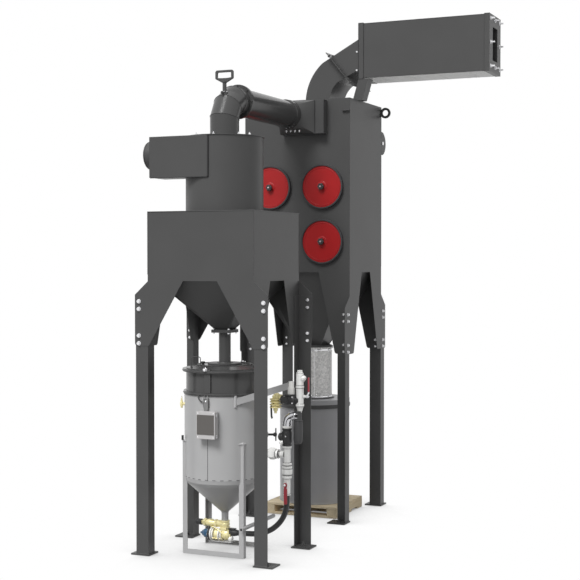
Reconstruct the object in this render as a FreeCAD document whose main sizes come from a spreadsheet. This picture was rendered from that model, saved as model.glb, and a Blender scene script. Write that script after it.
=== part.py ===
import FreeCAD, Part
import math
import os
import Sketcher
import PartDesign

# Cyclone separator plant for reclaimed blasting abrasive, in millimetres.
# A cyclone stands on a storage hopper with four angle legs. Its outlet elbow and a
# round duct lead to a cartridge dust collector on four legs, whose clean air leaves
# through a square elbow and a silencer. A blast pot stands under the cyclone and a
# dust drum on a pallet under the collector.
# The origin is on the floor in the middle of the cyclone's legs, X to the right,
# Y from the cyclone to the collector, Z up.

V = FreeCAD.Vector
doc = FreeCAD.newDocument("cyclone_separator")

# Driving dimensions: name, value, meaning
SIZES = [
    ("sheet_thick", 3.0, "folded steel panels"),
    ("fit_gap", 0.3, "clearance between a turned part and its seat"),
    ("leg_width", 102.0, "leg angle, flange along X"),
    ("leg_depth", 90.0, "leg angle, flange along Y"),
    ("leg_thick", 6.0, "leg angle, wall"),
    ("foot_width", 152.0, "foot plate along X"),
    ("foot_depth", 137.0, "foot plate along Y"),
    ("foot_thick", 10.0, "foot plate"),
    ("foot_lap", 8.0, "foot plate past the heel of the angle"),
    ("anchor_inset", 66.0, "anchor hole from the heel of the angle"),
    ("anchor_radius", 9.0, "anchor hole"),
    ("leg_drop", 15.0, "top of a leg below the shoulder of its bracket"),
    ("bracket_round", 22.0, "rounded lower corners of the brackets"),
    ("bracket_out", 108.0, "bracket past the casing corner"),
    ("shoulder_fall", 98.0, "height of the sloped shoulder of a bracket"),
    ("casing_width", 856.0, "cyclone casing along X"),
    ("casing_depth", 793.0, "cyclone casing along Y"),
    ("casing_top", 2516.0, "top of the cyclone casing"),
    ("casing_arch", 2014.0, "top of the arches in the cyclone casing"),
    ("casing_foot", 1538.0, "lower edge of the cyclone brackets"),
    ("casing_shoulder", 1912.0, "lower end of the cyclone bracket shoulders"),
    ("end_arch_top", 137.0, "half width of the front arch at its top"),
    ("end_arch_foot", 421.0, "half width of the front arch at the brackets' foot"),
    ("side_arch_top", 123.0, "half width of the side arch at its top"),
    ("side_arch_foot", 262.0, "half width of the side arch at the brackets' foot"),
    ("hopper_top", 2060.0, "upper rim of the cyclone hopper"),
    ("hopper_outlet", 1650.0, "lower end of the cyclone hopper"),
    ("hopper_mouth", 100.0, "square mouth of the cyclone hopper"),
    ("outlet_flange", 150.0, "square outlet flanges"),
    ("flange_thick", 11.0, "one outlet flange"),
    ("drop_radius", 44.0, "drop pipe, outside"),
    ("drop_wall", 4.0, "drop pipe, wall"),
    ("barrel_radius", 288.0, "cyclone barrel, outside"),
    ("barrel_top", 3068.0, "top edge of the cyclone barrel"),
    ("roof_lip", 6.0, "cyclone roof past the barrel"),
    ("roof_thick", 6.0, "cyclone roof"),
    ("inlet_height", 298.0, "tangential inlet box"),
    ("inlet_depth", 230.0, "tangential inlet box along Y"),
    ("inlet_reach", 475.0, "left end of the inlet box from the axis"),
    ("inlet_base", 2770.0, "underside of the inlet box"),
    ("spigot_radius", 100.0, "inlet spigot, outside"),
    ("spigot_rise", 171.0, "axis of the spigot above the underside of the inlet box"),
    ("spigot_length", 62.0, "inlet spigot"),
    ("duct_radius", 108.0, "outlet elbow and duct, outside"),
    ("duct_wall", 2.0, "outlet elbow and duct, wall"),
    ("elbow_bend", 200.0, "centre line radius of the elbow"),
    ("duct_height", 3360.0, "axis of the transfer duct"),
    ("elbow_flange", 130.0, "radius of the elbow flange"),
    ("elbow_flange_thick", 12.0, "elbow flange pair"),
    ("elbow_run", 26.0, "straight end of the elbow up to its flange"),
    ("seam_radius", 118.0, "swaged collar at the far end of the duct"),
    ("seam_length", 60.0, "swaged collar along the duct"),
    ("guide_base", 3475.0, "underside of the vortex rod guide"),
    ("rod_radius", 15.0, "vortex adjusting rod"),
    ("rod_tip", 3120.0, "lower end of the vortex adjusting rod"),
    ("handle_width", 148.0, "D handle"),
    ("handle_height", 67.0, "D handle"),
    ("handle_base", 3503.0, "underside of the D handle"),
    ("handle_bar", 18.0, "D handle bars"),
    ("handle_thick", 16.0, "D handle along Y"),
    ("clamp_radius", 27.0, "clamp nut on the vortex rod"),
    ("clamp_height", 24.0, "clamp nut on the vortex rod"),
    ("collector_width", 952.0, "dust collector along X"),
    ("collector_depth", 760.0, "dust collector along Y"),
    ("collector_front", 1335.0, "front face of the dust collector from the cyclone axis"),
    ("collector_top", 3498.0, "top of the dust collector"),
    ("collector_arch", 2063.0, "top of the arches in the collector"),
    ("collector_foot", 1390.0, "lower edge of the collector brackets"),
    ("collector_shoulder", 1769.0, "lower end of the collector bracket shoulders"),
    ("wide_arch_top", 199.0, "half width of the collector front arch at its top"),
    ("wide_arch_foot", 345.0, "half width of the collector front arch at its foot"),
    ("deep_arch_top", 100.0, "half width of the collector side arch at its top"),
    ("deep_arch_foot", 285.0, "half width of the collector side arch at its foot"),
    ("collector_hopper_top", 2100.0, "upper rim of the collector hopper"),
    ("collector_outlet", 1428.0, "lower end of the collector hopper"),
    ("collector_mouth", 190.0, "square mouth of the collector hopper"),
    ("sleeve_radius", 153.0, "dust sleeve"),
    ("sleeve_wall", 3.0, "dust sleeve, wall"),
    ("sleeve_flange", 163.0, "round flanges over the dust sleeve, radius"),
    ("drum_radius", 295.0, "dust drum"),
    ("drum_top", 965.0, "top of the dust drum"),
    ("lid_skirt", 60.0, "drum lid skirt"),
    ("lid_thick", 12.0, "drum lid plate"),
    ("lid_radius", 306.0, "drum lid"),
    ("pallet_width", 660.0, "pallet along X"),
    ("pallet_depth", 610.0, "pallet along Y"),
    ("pallet_height", 95.0, "pallet"),
    ("board_thick", 18.0, "pallet boards"),
    ("bearer_width", 90.0, "pallet bearers"),
    ("cover_radius", 182.0, "round filter covers"),
    ("cover_thick", 26.0, "round filter covers"),
    ("cover_rim", 10.0, "dark rim round a filter cover"),
    ("cover_spacing_wide", 470.0, "filter covers, side by side"),
    ("cover_spacing_tall", 455.0, "filter covers, one above the other"),
    ("cover_low", 2318.0, "axis of the lower filter covers"),
    ("knob_radius", 28.0, "cover knob"),
    ("knob_length", 34.0, "cover knob"),
    ("plenum_left", -118.0, "left side of the inlet plenum on the collector"),
    ("plenum_right", 276.0, "right side of the inlet plenum"),
    ("plenum_low", 3209.0, "underside of the inlet plenum"),
    ("plenum_high", 3483.0, "top of the inlet plenum"),
    ("plenum_depth", 70.0, "inlet plenum out from the collector"),
    ("hood_right", 193.0, "right edge of the square end of the inlet hood"),
    ("hood_length", 118.0, "square to round inlet hood"),
    ("exhaust_depth", 336.0, "exhaust elbow and silencer along Y"),
    ("exhaust_front", 1531.0, "front face of the exhaust elbow and silencer"),
    ("exhaust_left", -2.0, "left edge of the exhaust elbow on the roof"),
    ("exhaust_width", 216.0, "exhaust elbow across its run"),
    ("exhaust_bend", 208.0, "inner radius of the exhaust elbow"),
    ("exhaust_entry_high", 324.0, "top of the straight piece above the underside of the silencer"),
    ("exhaust_entry_low", 73.0, "foot of the straight piece above the underside of the silencer"),
    ("exhaust_flange", 369.0, "flange plate of the exhaust, across its run"),
    ("exhaust_flange_reach", 321.0, "middle of that flange plate from the plant axis"),
    ("exhaust_flange_rise", 262.0, "middle of that flange plate above the collector roof"),
    ("exhaust_flange_past", 55.0, "that flange plate past the exhaust along Y"),
    ("exhaust_wall", 3.0, "exhaust elbow, wall"),
    ("silencer_left", 477.0, "left end of the silencer"),
    ("silencer_length", 1117.0, "silencer"),
    ("silencer_gap", 181.0, "underside of the silencer above the collector roof"),
    ("silencer_height", 454.0, "silencer"),
    ("silencer_frame", 42.0, "end frames of the silencer"),
    ("silencer_lip", 5.0, "end frames past the silencer's faces"),
    ("silencer_slot_wide", 145.0, "air slot in the silencer along Y"),
    ("silencer_slot_tall", 269.0, "air slot in the silencer"),
    ("strut_left", 425.0, "foot of the silencer strut from the plant axis"),
    ("strut_width", 85.0, "silencer strut along X"),
    ("strut_lean", 52.0, "top of the strut further right than its foot"),
    ("strut_depth", 109.0, "silencer strut along Y"),
    ("manifold_radius", 102.0, "compressed air tank behind the collector"),
    ("manifold_length", 870.0, "compressed air tank"),
    ("manifold_height", 3195.0, "axis of the compressed air tank"),
    ("manifold_gap", 23.0, "air tank off the collector wall"),
    ("saddle_width", 12.0, "saddle of the air tank"),
    ("saddle_height", 140.0, "saddle of the air tank"),
    ("eye_radius", 46.0, "lifting eye, outside"),
    ("eye_hole", 26.0, "lifting eye, hole"),
    ("eye_thick", 14.0, "lifting eye"),
    ("eye_seat", 6.0, "lifting eye flattened against the side wall"),
    ("eye_drop", 52.0, "middle of a lifting eye below the top of the collector"),
    ("pot_radius", 300.0, "blast pot shell"),
    ("pot_wall", 6.0, "blast pot shell, wall"),
    ("pot_neck_radius", 26.0, "neck at the foot of the pot"),
    ("pot_neck_low", 226.0, "lower end of the neck"),
    ("pot_neck_top", 290.0, "upper end of the neck"),
    ("pot_cone_top", 535.0, "corner of the cone and the shell, before its knuckle"),
    ("pot_knuckle", 30.0, "rounded knuckle between cone and shell, from that corner"),
    ("pot_shell_top", 1178.0, "upper edge of the grey shell"),
    ("collar_radius", 287.0, "dark screen collar on the pot"),
    ("collar_top", 1345.0, "top of the collar wall"),
    ("bead_radius", 306.0, "rolled bead under the collar"),
    ("bead_height", 24.0, "rolled bead under the collar"),
    ("rim_radius", 313.0, "rim of the collar"),
    ("rim_height", 20.0, "rim of the collar"),
    ("lid_rise", 26.0, "pot lid above the collar rim"),
    ("frame_half", 250.0, "pot stand, outer half width"),
    ("frame_half_depth", 197.0, "pot stand, outer half depth"),
    ("frame_leg", 38.0, "pot stand angles"),
    ("frame_wall", 5.0, "pot stand angles, wall"),
    ("frame_top", 835.0, "top of the pot stand legs"),
    ("frame_bar", 34.0, "bars at the foot of the pot stand"),
    ("tube_radius", 15.0, "side tube of the pot stand"),
    ("tube_height", 220.0, "axis of the side tube"),
    ("pad_width", 44.0, "welded pads from the stand legs to the shell"),
    ("tube_front", 41.0, "side tube past the front of the pot stand"),
    ("tube_rear", 127.0, "side tube past the rear of the pot stand"),
    ("box_width", 144.0, "control box on the pot"),
    ("box_height", 193.0, "control box on the pot"),
    ("box_depth", 55.0, "control box on the pot"),
    ("box_left", 46.0, "left side of the control box from the pot axis"),
    ("box_base", 880.0, "underside of the control box"),
    ("valve_axis", 118.0, "axis of the metering valve body"),
    ("valve_radius", 46.0, "metering valve body"),
    ("valve_left", 112.0, "left end of the metering valve body from the pot axis"),
    ("valve_right", 40.0, "right end of the metering valve body"),
    ("air_port_axis", 198.0, "axis of the side port of the metering valve"),
    ("air_port_radius", 27.0, "side port of the metering valve"),
    ("air_port_reach", 190.0, "left end of the side port from the pot axis"),
    ("coupling_length", 50.0, "coupling on the side port"),
    ("coupling_step", 4.0, "coupling smaller than the side port, radius"),
    ("disc_radius", 51.0, "diaphragm flange of the valve actuator"),
    ("disc_thick", 17.0, "diaphragm flange of the valve actuator"),
    ("actuator_radius", 33.0, "valve actuator cap"),
    ("actuator_length", 61.0, "valve actuator cap"),
    ("hose_radius", 20.5, "blast hose"),
    ("hose_low", 139.0, "axis of the blast hose at the metering valve"),
    ("hose_start", 84.0, "blast hose leaves its coupling, from the pot axis"),
    ("hose_end", 451.0, "blast hose enters the riser"),
    ("line_reach", 507.0, "vertical pipe line from the pot axis"),
    ("riser_radius", 25.0, "white riser pipe"),
    ("union_radius", 42.0, "union nut on the riser"),
    ("union_low", 582.0, "lower union nut"),
    ("union_high", 692.0, "upper end of the union"),
    ("riser_top", 812.0, "upper end of the riser"),
    ("branch_height", 748.0, "axis of the pipe from the pot to the riser"),
    ("branch_radius", 20.0, "pipe from the pot to the riser"),
    ("branch_nut", 44.0, "hexagon union on that pipe, across corners, half"),
    ("pinch_radius", 37.0, "black pinch valve"),
    ("pinch_top", 940.0, "upper end of the pinch valve"),
    ("pinch_port", 66.0, "end of the pinch valve's side port from its axis"),
    ("bend_radius", 28.0, "bright bend over the pinch valve"),
    ("bend_turn", 40.0, "centre line radius of the bright bend"),
    ("bend_rise", 5.0, "straight foot of the bright bend"),
    ("muffler_reach", 594.0, "axis of the muffler from the pot axis"),
    ("muffler_radius", 34.0, "black muffler"),
    ("muffler_low", 828.0, "lower end of the muffler"),
    ("muffler_top", 1000.0, "shoulder of the muffler"),
    ("neck_radius", 27.0, "coupling over the muffler"),
    ("neck_top", 1070.0, "upper end of the coupling"),
    ("stack_reach", 608.0, "axis of the white air pipe from the pot axis"),
    ("stack_radius", 29.0, "white air pipe"),
    ("stack_top", 1368.0, "upper end of the white air pipe"),
    ("block_left", 463.0, "left end of the dark pilot block from the pot axis"),
    ("block_axis", 1165.0, "axis of the pilot block"),
    ("block_radius", 48.0, "pilot block"),
    ("cap_reach", 539.0, "axis of the white cap on the pilot block"),
    ("cap_radius", 22.0, "white cap on the pilot block"),
    ("cap_top", 1284.0, "top of the white cap"),
    ("brass_reach", 415.0, "axis of the brass regulator from the pot axis"),
    ("brass_radius", 25.0, "brass regulator body"),
    ("brass_low", 1045.0, "lower end of the brass regulator"),
    ("brass_top", 1195.0, "upper end of the brass regulator"),
    ("bracket_height", 50.0, "flat bar that carries the air pipe"),
    ("bracket_thick", 8.0, "flat bar that carries the air pipe"),
    ("bracket_low", 1112.0, "lower edge of that flat bar at the pot"),
    ("bracket_rise", 120.0, "rise of that flat bar along its length"),
    ("bracket_angle", 42.7, "where that flat bar leaves the pot, from the front"),
    ("lever_length", 144.0, "red lever, from its spindle"),
    ("lever_width", 28.0, "red lever"),
    ("lever_thick", 5.0, "red lever"),
    ("lever_height", 530.0, "spindle of the lower red lever"),
    ("spindle_radius", 8.0, "valve spindles"),
    ("spindle_length", 12.0, "lower valve spindle from the pipe to its lever"),
    ("crank_gap", 26.0, "upper valve spindle from the air pipe to its lever"),
    ("crank_offset", 12.0, "crank of the upper lever"),
    ("bracket_lap", 12.0, "flat bar let into the pot before it is trimmed"),
    ("crank_height", 1177.0, "spindle of the upper red lever"),
    ("crank_width", 20.0, "upper red lever"),
    ("wheel_radius", 49.0, "handwheel"),
    ("wheel_thick", 8.0, "handwheel"),
    ("wheel_height", 866.0, "axis of the handwheel"),
    ("wheel_reach", 377.0, "handwheel from the pot axis"),
    ("wheel_angle", 24.0, "handwheel stem, from the X axis"),
    ("stem_radius", 8.5, "handwheel stem"),
    ("boss_radius", 18.0, "boss round the handwheel stem"),
    ("boss_reach", 322.0, "end of the boss from the pot axis"),
]

sheet = doc.addObject("Spreadsheet::Sheet", "dims")
for row, (name, value, meaning) in enumerate(SIZES, start=1):
    sheet.set("A%d" % row, meaning)
    sheet.set("B%d" % row, str(value))
    sheet.setAlias("B%d" % row, name)
doc.recompute()

nodes = []


def size(name):
    """A value read from the sheet, for shapes made with Part's own functions."""
    return float(sheet.get(name))


def publish(part, label):
    """Give a finished sub-part the label that names its file."""
    part.Label = label
    nodes.append(part)
    return part


def put(part, across, away, up, turn=None):
    """Place a part, its position held by three expressions."""
    if turn is not None:
        part.Placement = FreeCAD.Placement(V(0, 0, 0), turn)
    part.setExpression("Placement.Base.x", across)
    part.setExpression("Placement.Base.y", away)
    part.setExpression("Placement.Base.z", up)
    return part


def block(name, wide, deep, tall, across, away, up):
    part = doc.addObject("Part::Box", name)
    part.setExpression("Length", wide)
    part.setExpression("Width", deep)
    part.setExpression("Height", tall)
    return put(part, across, away, up)


ALONG_X = FreeCAD.Rotation(V(0, 1, 0), 90)
ALONG_Y = FreeCAD.Rotation(V(1, 0, 0), -90)
UPRIGHT = FreeCAD.Rotation()


def bar(name, radius, length, across, away, up, turn=UPRIGHT):
    part = doc.addObject("Part::Cylinder", name)
    part.setExpression("Radius", radius)
    part.setExpression("Height", length)
    return put(part, across, away, up, turn)


def join(name, *parts):
    part = doc.addObject("Part::MultiFuse", name)
    part.Shapes = list(parts)
    part.Refine = True
    return part


def cut(name, base, tool):
    part = doc.addObject("Part::Cut", name)
    part.Base = base
    part.Tool = tool
    part.Refine = True
    return part


def outline(body, role, corners):
    """A closed outline on one of the body's planes, each corner held by two expressions."""
    sketch = body.newObject("Sketcher::SketchObject", body.Name + "_outline")
    plane = [f for f in body.Origin.OriginFeatures if f.Role == role][0]
    sketch.AttachmentSupport = [(plane, "")]
    sketch.MapMode = "FlatFace"
    count = len(corners)
    start = [V(100 * math.cos(2 * math.pi * i / count), 100 * math.sin(2 * math.pi * i / count), 0)
             for i in range(count)]
    for i in range(count):
        sketch.addGeometry(Part.LineSegment(start[i], start[(i + 1) % count]))
    for i in range(count):
        sketch.addConstraint(Sketcher.Constraint("Coincident", i, 2, (i + 1) % count, 1))
    for i, (along, up) in enumerate(corners):
        n = sketch.addConstraint(Sketcher.Constraint("DistanceX", -1, 1, i, 1, start[i].x))
        sketch.setExpression("Constraints[%d]" % n, along)
        n = sketch.addConstraint(Sketcher.Constraint("DistanceY", -1, 1, i, 1, start[i].y))
        sketch.setExpression("Constraints[%d]" % n, up)
    return sketch


def slab(name, role, corners, thick, across="0", away="0", up="0", back=False):
    """A flat piece: an outline padded by its thickness."""
    body = doc.addObject("PartDesign::Body", name)
    sketch = outline(body, role, corners)
    pad = body.newObject("PartDesign::Pad", name + "_pad")
    pad.Profile = sketch
    pad.Reversed = back
    pad.setExpression("Length", thick)
    put(body, across, away, up)
    doc.recompute()
    return body


def turned(name, corners, across="0", away="0", up="0", turn=UPRIGHT):
    """A round piece: radius and height corners revolved about the upright axis."""
    body = doc.addObject("PartDesign::Body", name)
    sketch = outline(body, "XZ_Plane", corners)
    spin = body.newObject("PartDesign::Revolution", name + "_turn")
    spin.Profile = sketch
    spin.ReferenceAxis = (sketch, ["V_Axis"])
    spin.Angle = 360
    put(body, across, away, up, turn)
    return body


def ring(name, outer, inner, low, high, across="0", away="0", up="0", turn=UPRIGHT):
    """A plain tube between two heights."""
    return turned(name, [(inner, low), (outer, low), (outer, high), (inner, high)],
                  across, away, up, turn)


def round_feet(body, low):
    """Round the corners of a plate that lie on its lower edge."""
    pad = body.Tip
    picked = []
    for i, edge in enumerate(pad.Shape.Edges):
        box = edge.BoundBox
        level = abs(box.ZMax - size(low)) < 0.01 and box.ZLength < 0.01
        if level and edge.Length < size("sheet_thick") * 1.01:
            picked.append("Edge%d" % (i + 1))
    fillet = body.newObject("PartDesign::Fillet", body.Name + "_corners")
    fillet.Base = (pad, picked)
    fillet.setExpression("Radius", "dims.bracket_round")
    body.Tip = fillet


# Legs: a hot rolled angle welded to a foot plate with one anchor hole.
# Each stands with its heel at a casing corner, one flange outward behind the bracket.

def leg(name, heel_x, heel_y, side_x, side_y, top):
    """A leg whose heel is at a corner and whose flanges run to side_x and side_y."""
    def corner(along, deep):
        return (f"{side_x} * ({along})", f"{side_y} * ({deep})")
    angle = slab(name + "_angle", "XY_Plane",
                 [corner("0", "0"), corner("dims.leg_width", "0"),
                  corner("dims.leg_width", "dims.leg_thick"),
                  corner("dims.leg_thick", "dims.leg_thick"),
                  corner("dims.leg_thick", "dims.leg_depth"), corner("0", "dims.leg_depth")],
                 f"{top} - dims.foot_thick", heel_x, heel_y, "dims.foot_thick")
    low_x = "-dims.foot_lap" if side_x > 0 else "dims.foot_lap - dims.foot_width"
    low_y = "-dims.foot_lap" if side_y > 0 else "dims.foot_lap - dims.foot_depth"
    plate = block(name + "_plate", "dims.foot_width", "dims.foot_depth", "dims.foot_thick",
                  f"{heel_x} + {low_x}", f"{heel_y} + {low_y}", "0")
    hole = bar(name + "_hole", "dims.anchor_radius", "dims.foot_thick",
               f"{heel_x} + {side_x} * dims.anchor_inset",
               f"{heel_y} + {side_y} * dims.anchor_inset", "0")
    return publish(cut(name + "_leg", join(name + "_weld", angle, plate), hole), name)


SIDES = [("front_right", 1, -1), ("front_left", -1, -1),
         ("rear_right", 1, 1), ("rear_left", -1, 1)]

for corner_name, side, end in SIDES:
    leg("cyclone_leg_" + corner_name, f"{side} * dims.casing_width / 2",
        f"{end} * (dims.casing_depth / 2 - dims.sheet_thick)", side, -end,
        "(dims.casing_shoulder - dims.leg_drop)")

COLLECTOR_MIDDLE = "(dims.collector_front + dims.collector_depth / 2)"
for corner_name, side, end in SIDES:
    leg("collector_leg_" + corner_name,
        f"{side} * (dims.collector_width / 2 - dims.sheet_thick)",
        f"{COLLECTOR_MIDDLE} + {end} * dims.collector_depth / 2", -side, end,
        "(dims.collector_shoulder - dims.leg_drop)")


# Casing panels: flat sheets with a tapered arch, so that each ends in two brackets.
# The wide pair has shoulders that carry its brackets out over the leg flanges.

def winged(half, top, shoulder, arch, arch_top, arch_foot, low):
    """Corners of a panel whose brackets stand out past the casing."""
    out = f"({half} + dims.bracket_out)"
    right = [(half, top), (half, f"{shoulder} + dims.shoulder_fall"), (out, shoulder),
             (out, low), (arch_foot, low), (arch_top, arch)]
    return right + [(f"-{along}", up) for along, up in reversed(right)]


def straight(half, top, arch, arch_top, arch_foot, low):
    """Corners of a panel whose brackets stay within the casing."""
    right = [(half, top), (half, low), (arch_foot, low), (arch_top, arch)]
    return right + [(f"-{along}", up) for along, up in reversed(right)]


CASING_PANEL_TOP = "(dims.casing_top - dims.sheet_thick)"
for label, away, back in (("cyclone_front_panel", "-dims.casing_depth / 2", True),
                          ("cyclone_rear_panel", "dims.casing_depth / 2", False)):
    panel = slab(label, "XZ_Plane",
                 winged("(dims.casing_width / 2)", CASING_PANEL_TOP, "dims.casing_shoulder",
                        "dims.casing_arch", "dims.end_arch_top", "dims.end_arch_foot",
                        "dims.casing_foot"),
                 "dims.sheet_thick", "0", away, "0", back)
    round_feet(panel, "casing_foot")
    publish(panel, label)

for label, across, back in (("cyclone_right_panel", "dims.casing_width / 2", True),
                            ("cyclone_left_panel", "-dims.casing_width / 2", False)):
    panel = slab(label, "YZ_Plane",
                 straight("(dims.casing_depth / 2 - dims.sheet_thick)", CASING_PANEL_TOP,
                          "dims.casing_arch", "dims.side_arch_top", "dims.side_arch_foot",
                          "dims.casing_foot"),
                 "dims.sheet_thick", across, "0", "0", back)
    round_feet(panel, "casing_foot")
    publish(panel, label)

deck_plate = block("deck_plate", "dims.casing_width", "dims.casing_depth", "dims.sheet_thick",
                   "-dims.casing_width / 2", "-dims.casing_depth / 2", CASING_PANEL_TOP)
deck_hole = bar("deck_hole", "dims.barrel_radius - dims.sheet_thick", "dims.sheet_thick",
                "0", "0", CASING_PANEL_TOP)
publish(cut("deck", deck_plate, deck_hole), "cyclone_deck")

COLLECTOR_PANEL_TOP = "(dims.collector_top - dims.sheet_thick)"
for label, across, back in (("collector_right_panel", "dims.collector_width / 2", True),
                            ("collector_left_panel", "-dims.collector_width / 2", False)):
    panel = slab(label, "YZ_Plane",
                 winged("(dims.collector_depth / 2)", COLLECTOR_PANEL_TOP,
                        "dims.collector_shoulder", "dims.collector_arch",
                        "dims.deep_arch_top", "dims.deep_arch_foot", "dims.collector_foot"),
                 "dims.sheet_thick", across, COLLECTOR_MIDDLE, "0", back)
    round_feet(panel, "collector_foot")
    publish(panel, label)

for label, away, back in (("collector_front_panel", "dims.collector_front", True),
                          ("collector_rear_panel", "dims.collector_front + dims.collector_depth",
                           False)):
    panel = slab(label, "XZ_Plane",
                 straight("(dims.collector_width / 2 - dims.sheet_thick)", COLLECTOR_PANEL_TOP,
                          "dims.collector_arch", "dims.wide_arch_top", "dims.wide_arch_foot",
                          "dims.collector_foot"),
                 "dims.sheet_thick", "0", away, "0", back)
    round_feet(panel, "collector_foot")
    publish(panel, label)


# Hoppers: four sided pyramids of sheet, open at the top and at the mouth.

def pyramid(name, half_x, half_y, mouth, low, high, middle):
    """A pyramid from a square mouth up to a rectangle, its point on the middle line."""
    part = doc.addObject("Part::Wedge", name)
    part.setExpression("Xmin", f"-{mouth}")
    part.setExpression("Zmin", f"-{mouth}")
    part.setExpression("Xmax", mouth)
    part.setExpression("Zmax", mouth)
    part.setExpression("X2min", f"-{half_x}")
    part.setExpression("Z2min", f"-{half_y}")
    part.setExpression("X2max", half_x)
    part.setExpression("Z2max", half_y)
    part.Ymin = 0
    part.setExpression("Ymax", f"{high} - {low}")
    return put(part, "0", middle, low, FreeCAD.Rotation(V(1, 0, 0), 90))


def hopper(label, half_x, half_y, mouth, low, high, middle):
    """A sheet pyramid with a flange round its mouth."""
    outer = pyramid(label + "_outer", half_x, half_y, mouth, low, high, middle)
    inner = pyramid(label + "_inner", f"({half_x} - dims.sheet_thick)",
                    f"({half_y} - dims.sheet_thick)", f"({mouth} - dims.sheet_thick)",
                    low, high, middle)
    return cut(label + "_shell", outer, inner)


def square_flange(name, half, hole, low, thick, middle):
    """A square flange with a square hole."""
    plate = block(name + "_plate", f"2 * {half}", f"2 * {half}", thick, f"-{half}",
                  f"{middle} - {half}", low)
    window = block(name + "_window", f"2 * {hole}", f"2 * {hole}", thick, f"-{hole}",
                   f"{middle} - {hole}", low)
    return cut(name, plate, window)


cyclone_shell = hopper("cyclone_hopper", "(dims.casing_width / 2 - dims.sheet_thick)",
                       "(dims.casing_depth / 2 - dims.sheet_thick)", "(dims.hopper_mouth / 2)",
                       "dims.hopper_outlet", "dims.hopper_top", "0")
cyclone_flange = square_flange("cyclone_outlet_flange", "(dims.outlet_flange / 2)",
                               "(dims.hopper_mouth / 2 - dims.sheet_thick)",
                               "dims.hopper_outlet - dims.flange_thick", "dims.flange_thick",
                               "0")
publish(join("cyclone_hopper", cyclone_shell, cyclone_flange), "cyclone_hopper")

MOUTH_LOW = "(dims.hopper_outlet - dims.flange_thick)"
LID_TOP = "(dims.collar_top + dims.rim_height + dims.lid_rise)"
drop_plate = block("drop_plate", "dims.outlet_flange", "dims.outlet_flange", "dims.flange_thick",
                   "-dims.outlet_flange / 2", "-dims.outlet_flange / 2",
                   f"{MOUTH_LOW} - dims.flange_thick")
drop_body = bar("drop_body", "dims.drop_radius", f"{MOUTH_LOW} - {LID_TOP}", "0", "0", LID_TOP)
drop_bore = bar("drop_bore", "dims.drop_radius - dims.drop_wall", f"{MOUTH_LOW} - {LID_TOP}",
                "0", "0", LID_TOP)
publish(cut("drop_pipe", join("drop_solid", drop_plate, drop_body), drop_bore), "drop_pipe")

collector_shell = hopper("collector_hopper",
                         "(dims.collector_width / 2 - dims.sheet_thick)",
                         "(dims.collector_depth / 2 - dims.sheet_thick)",
                         "(dims.collector_mouth / 2)", "dims.collector_outlet",
                         "dims.collector_hopper_top", COLLECTOR_MIDDLE)
collector_flange = ring("collector_outlet_flange", "dims.sleeve_flange",
                        "dims.collector_mouth / 2 - dims.sheet_thick",
                        "dims.collector_outlet - dims.flange_thick", "dims.collector_outlet",
                        "0", COLLECTOR_MIDDLE)
publish(join("collector_hopper", collector_shell, collector_flange), "collector_hopper")


# Cyclone barrel with its tangential inlet box, cut so that the box opens into it.

INLET_FRONT = "(-dims.barrel_radius)"
barrel_tube = ring("barrel_tube", "dims.barrel_radius", "dims.barrel_radius - dims.sheet_thick",
                   "dims.casing_top", "dims.barrel_top")
inlet_mouth = block("inlet_mouth", "dims.barrel_radius",
                    "dims.inlet_depth - 2 * dims.sheet_thick",
                    "dims.inlet_height - 2 * dims.sheet_thick", "-dims.barrel_radius",
                    f"{INLET_FRONT} + dims.sheet_thick", "dims.inlet_base + dims.sheet_thick")
publish(cut("barrel", barrel_tube, inlet_mouth), "cyclone_barrel")

ROOF_TOP = "(dims.barrel_top + dims.roof_thick)"
publish(ring("barrel_roof", "dims.barrel_radius + dims.roof_lip",
             "dims.duct_radius + dims.fit_gap", "dims.barrel_top", ROOF_TOP), "cyclone_roof")

box_outer = block("box_outer", "dims.inlet_reach", "dims.inlet_depth", "dims.inlet_height",
                  "-dims.inlet_reach", INLET_FRONT, "dims.inlet_base")
box_inner = block("box_inner", "dims.inlet_reach", "dims.inlet_depth - 2 * dims.sheet_thick",
                  "dims.inlet_height - 2 * dims.sheet_thick",
                  "dims.sheet_thick - dims.inlet_reach",
                  f"{INLET_FRONT} + dims.sheet_thick", "dims.inlet_base + dims.sheet_thick")
barrel_core = bar("barrel_core", "dims.barrel_radius + dims.fit_gap", "dims.barrel_top",
                  "0", "0", "0")
SPIGOT_AWAY = f"{INLET_FRONT} + dims.inlet_depth / 2"
SPIGOT_UP = "dims.inlet_base + dims.spigot_rise"
spigot_hole = bar("spigot_hole", "dims.spigot_radius - dims.sheet_thick",
                  "2 * dims.sheet_thick", "-dims.inlet_reach - dims.sheet_thick",
                  SPIGOT_AWAY, SPIGOT_UP, ALONG_X)
box_shell = cut("box_shell", box_outer, box_inner)
box_open = cut("box_open", box_shell, spigot_hole)
box_clear = cut("box_clear", box_open, barrel_core)

spigot_body = bar("spigot_body", "dims.spigot_radius", "dims.spigot_length",
                  "-dims.inlet_reach - dims.spigot_length", SPIGOT_AWAY, SPIGOT_UP, ALONG_X)
spigot_bore = bar("spigot_bore", "dims.spigot_radius - dims.sheet_thick", "dims.spigot_length",
                  "-dims.inlet_reach - dims.spigot_length", SPIGOT_AWAY, SPIGOT_UP, ALONG_X)
publish(join("inlet_box", box_clear, cut("spigot", spigot_body, spigot_bore)),
        "cyclone_inlet_box")


# Outlet elbow: a lobster back bend of four mitred rings between the roof and the duct.

BEND_FIRST = 15.0
BEND_STEP = 30.0
bend_reach = size("elbow_bend") / math.cos(math.radians(BEND_FIRST))
bend_low = size("duct_height") - size("elbow_bend")
elbow_end = size("elbow_bend") + size("elbow_run")


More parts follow.
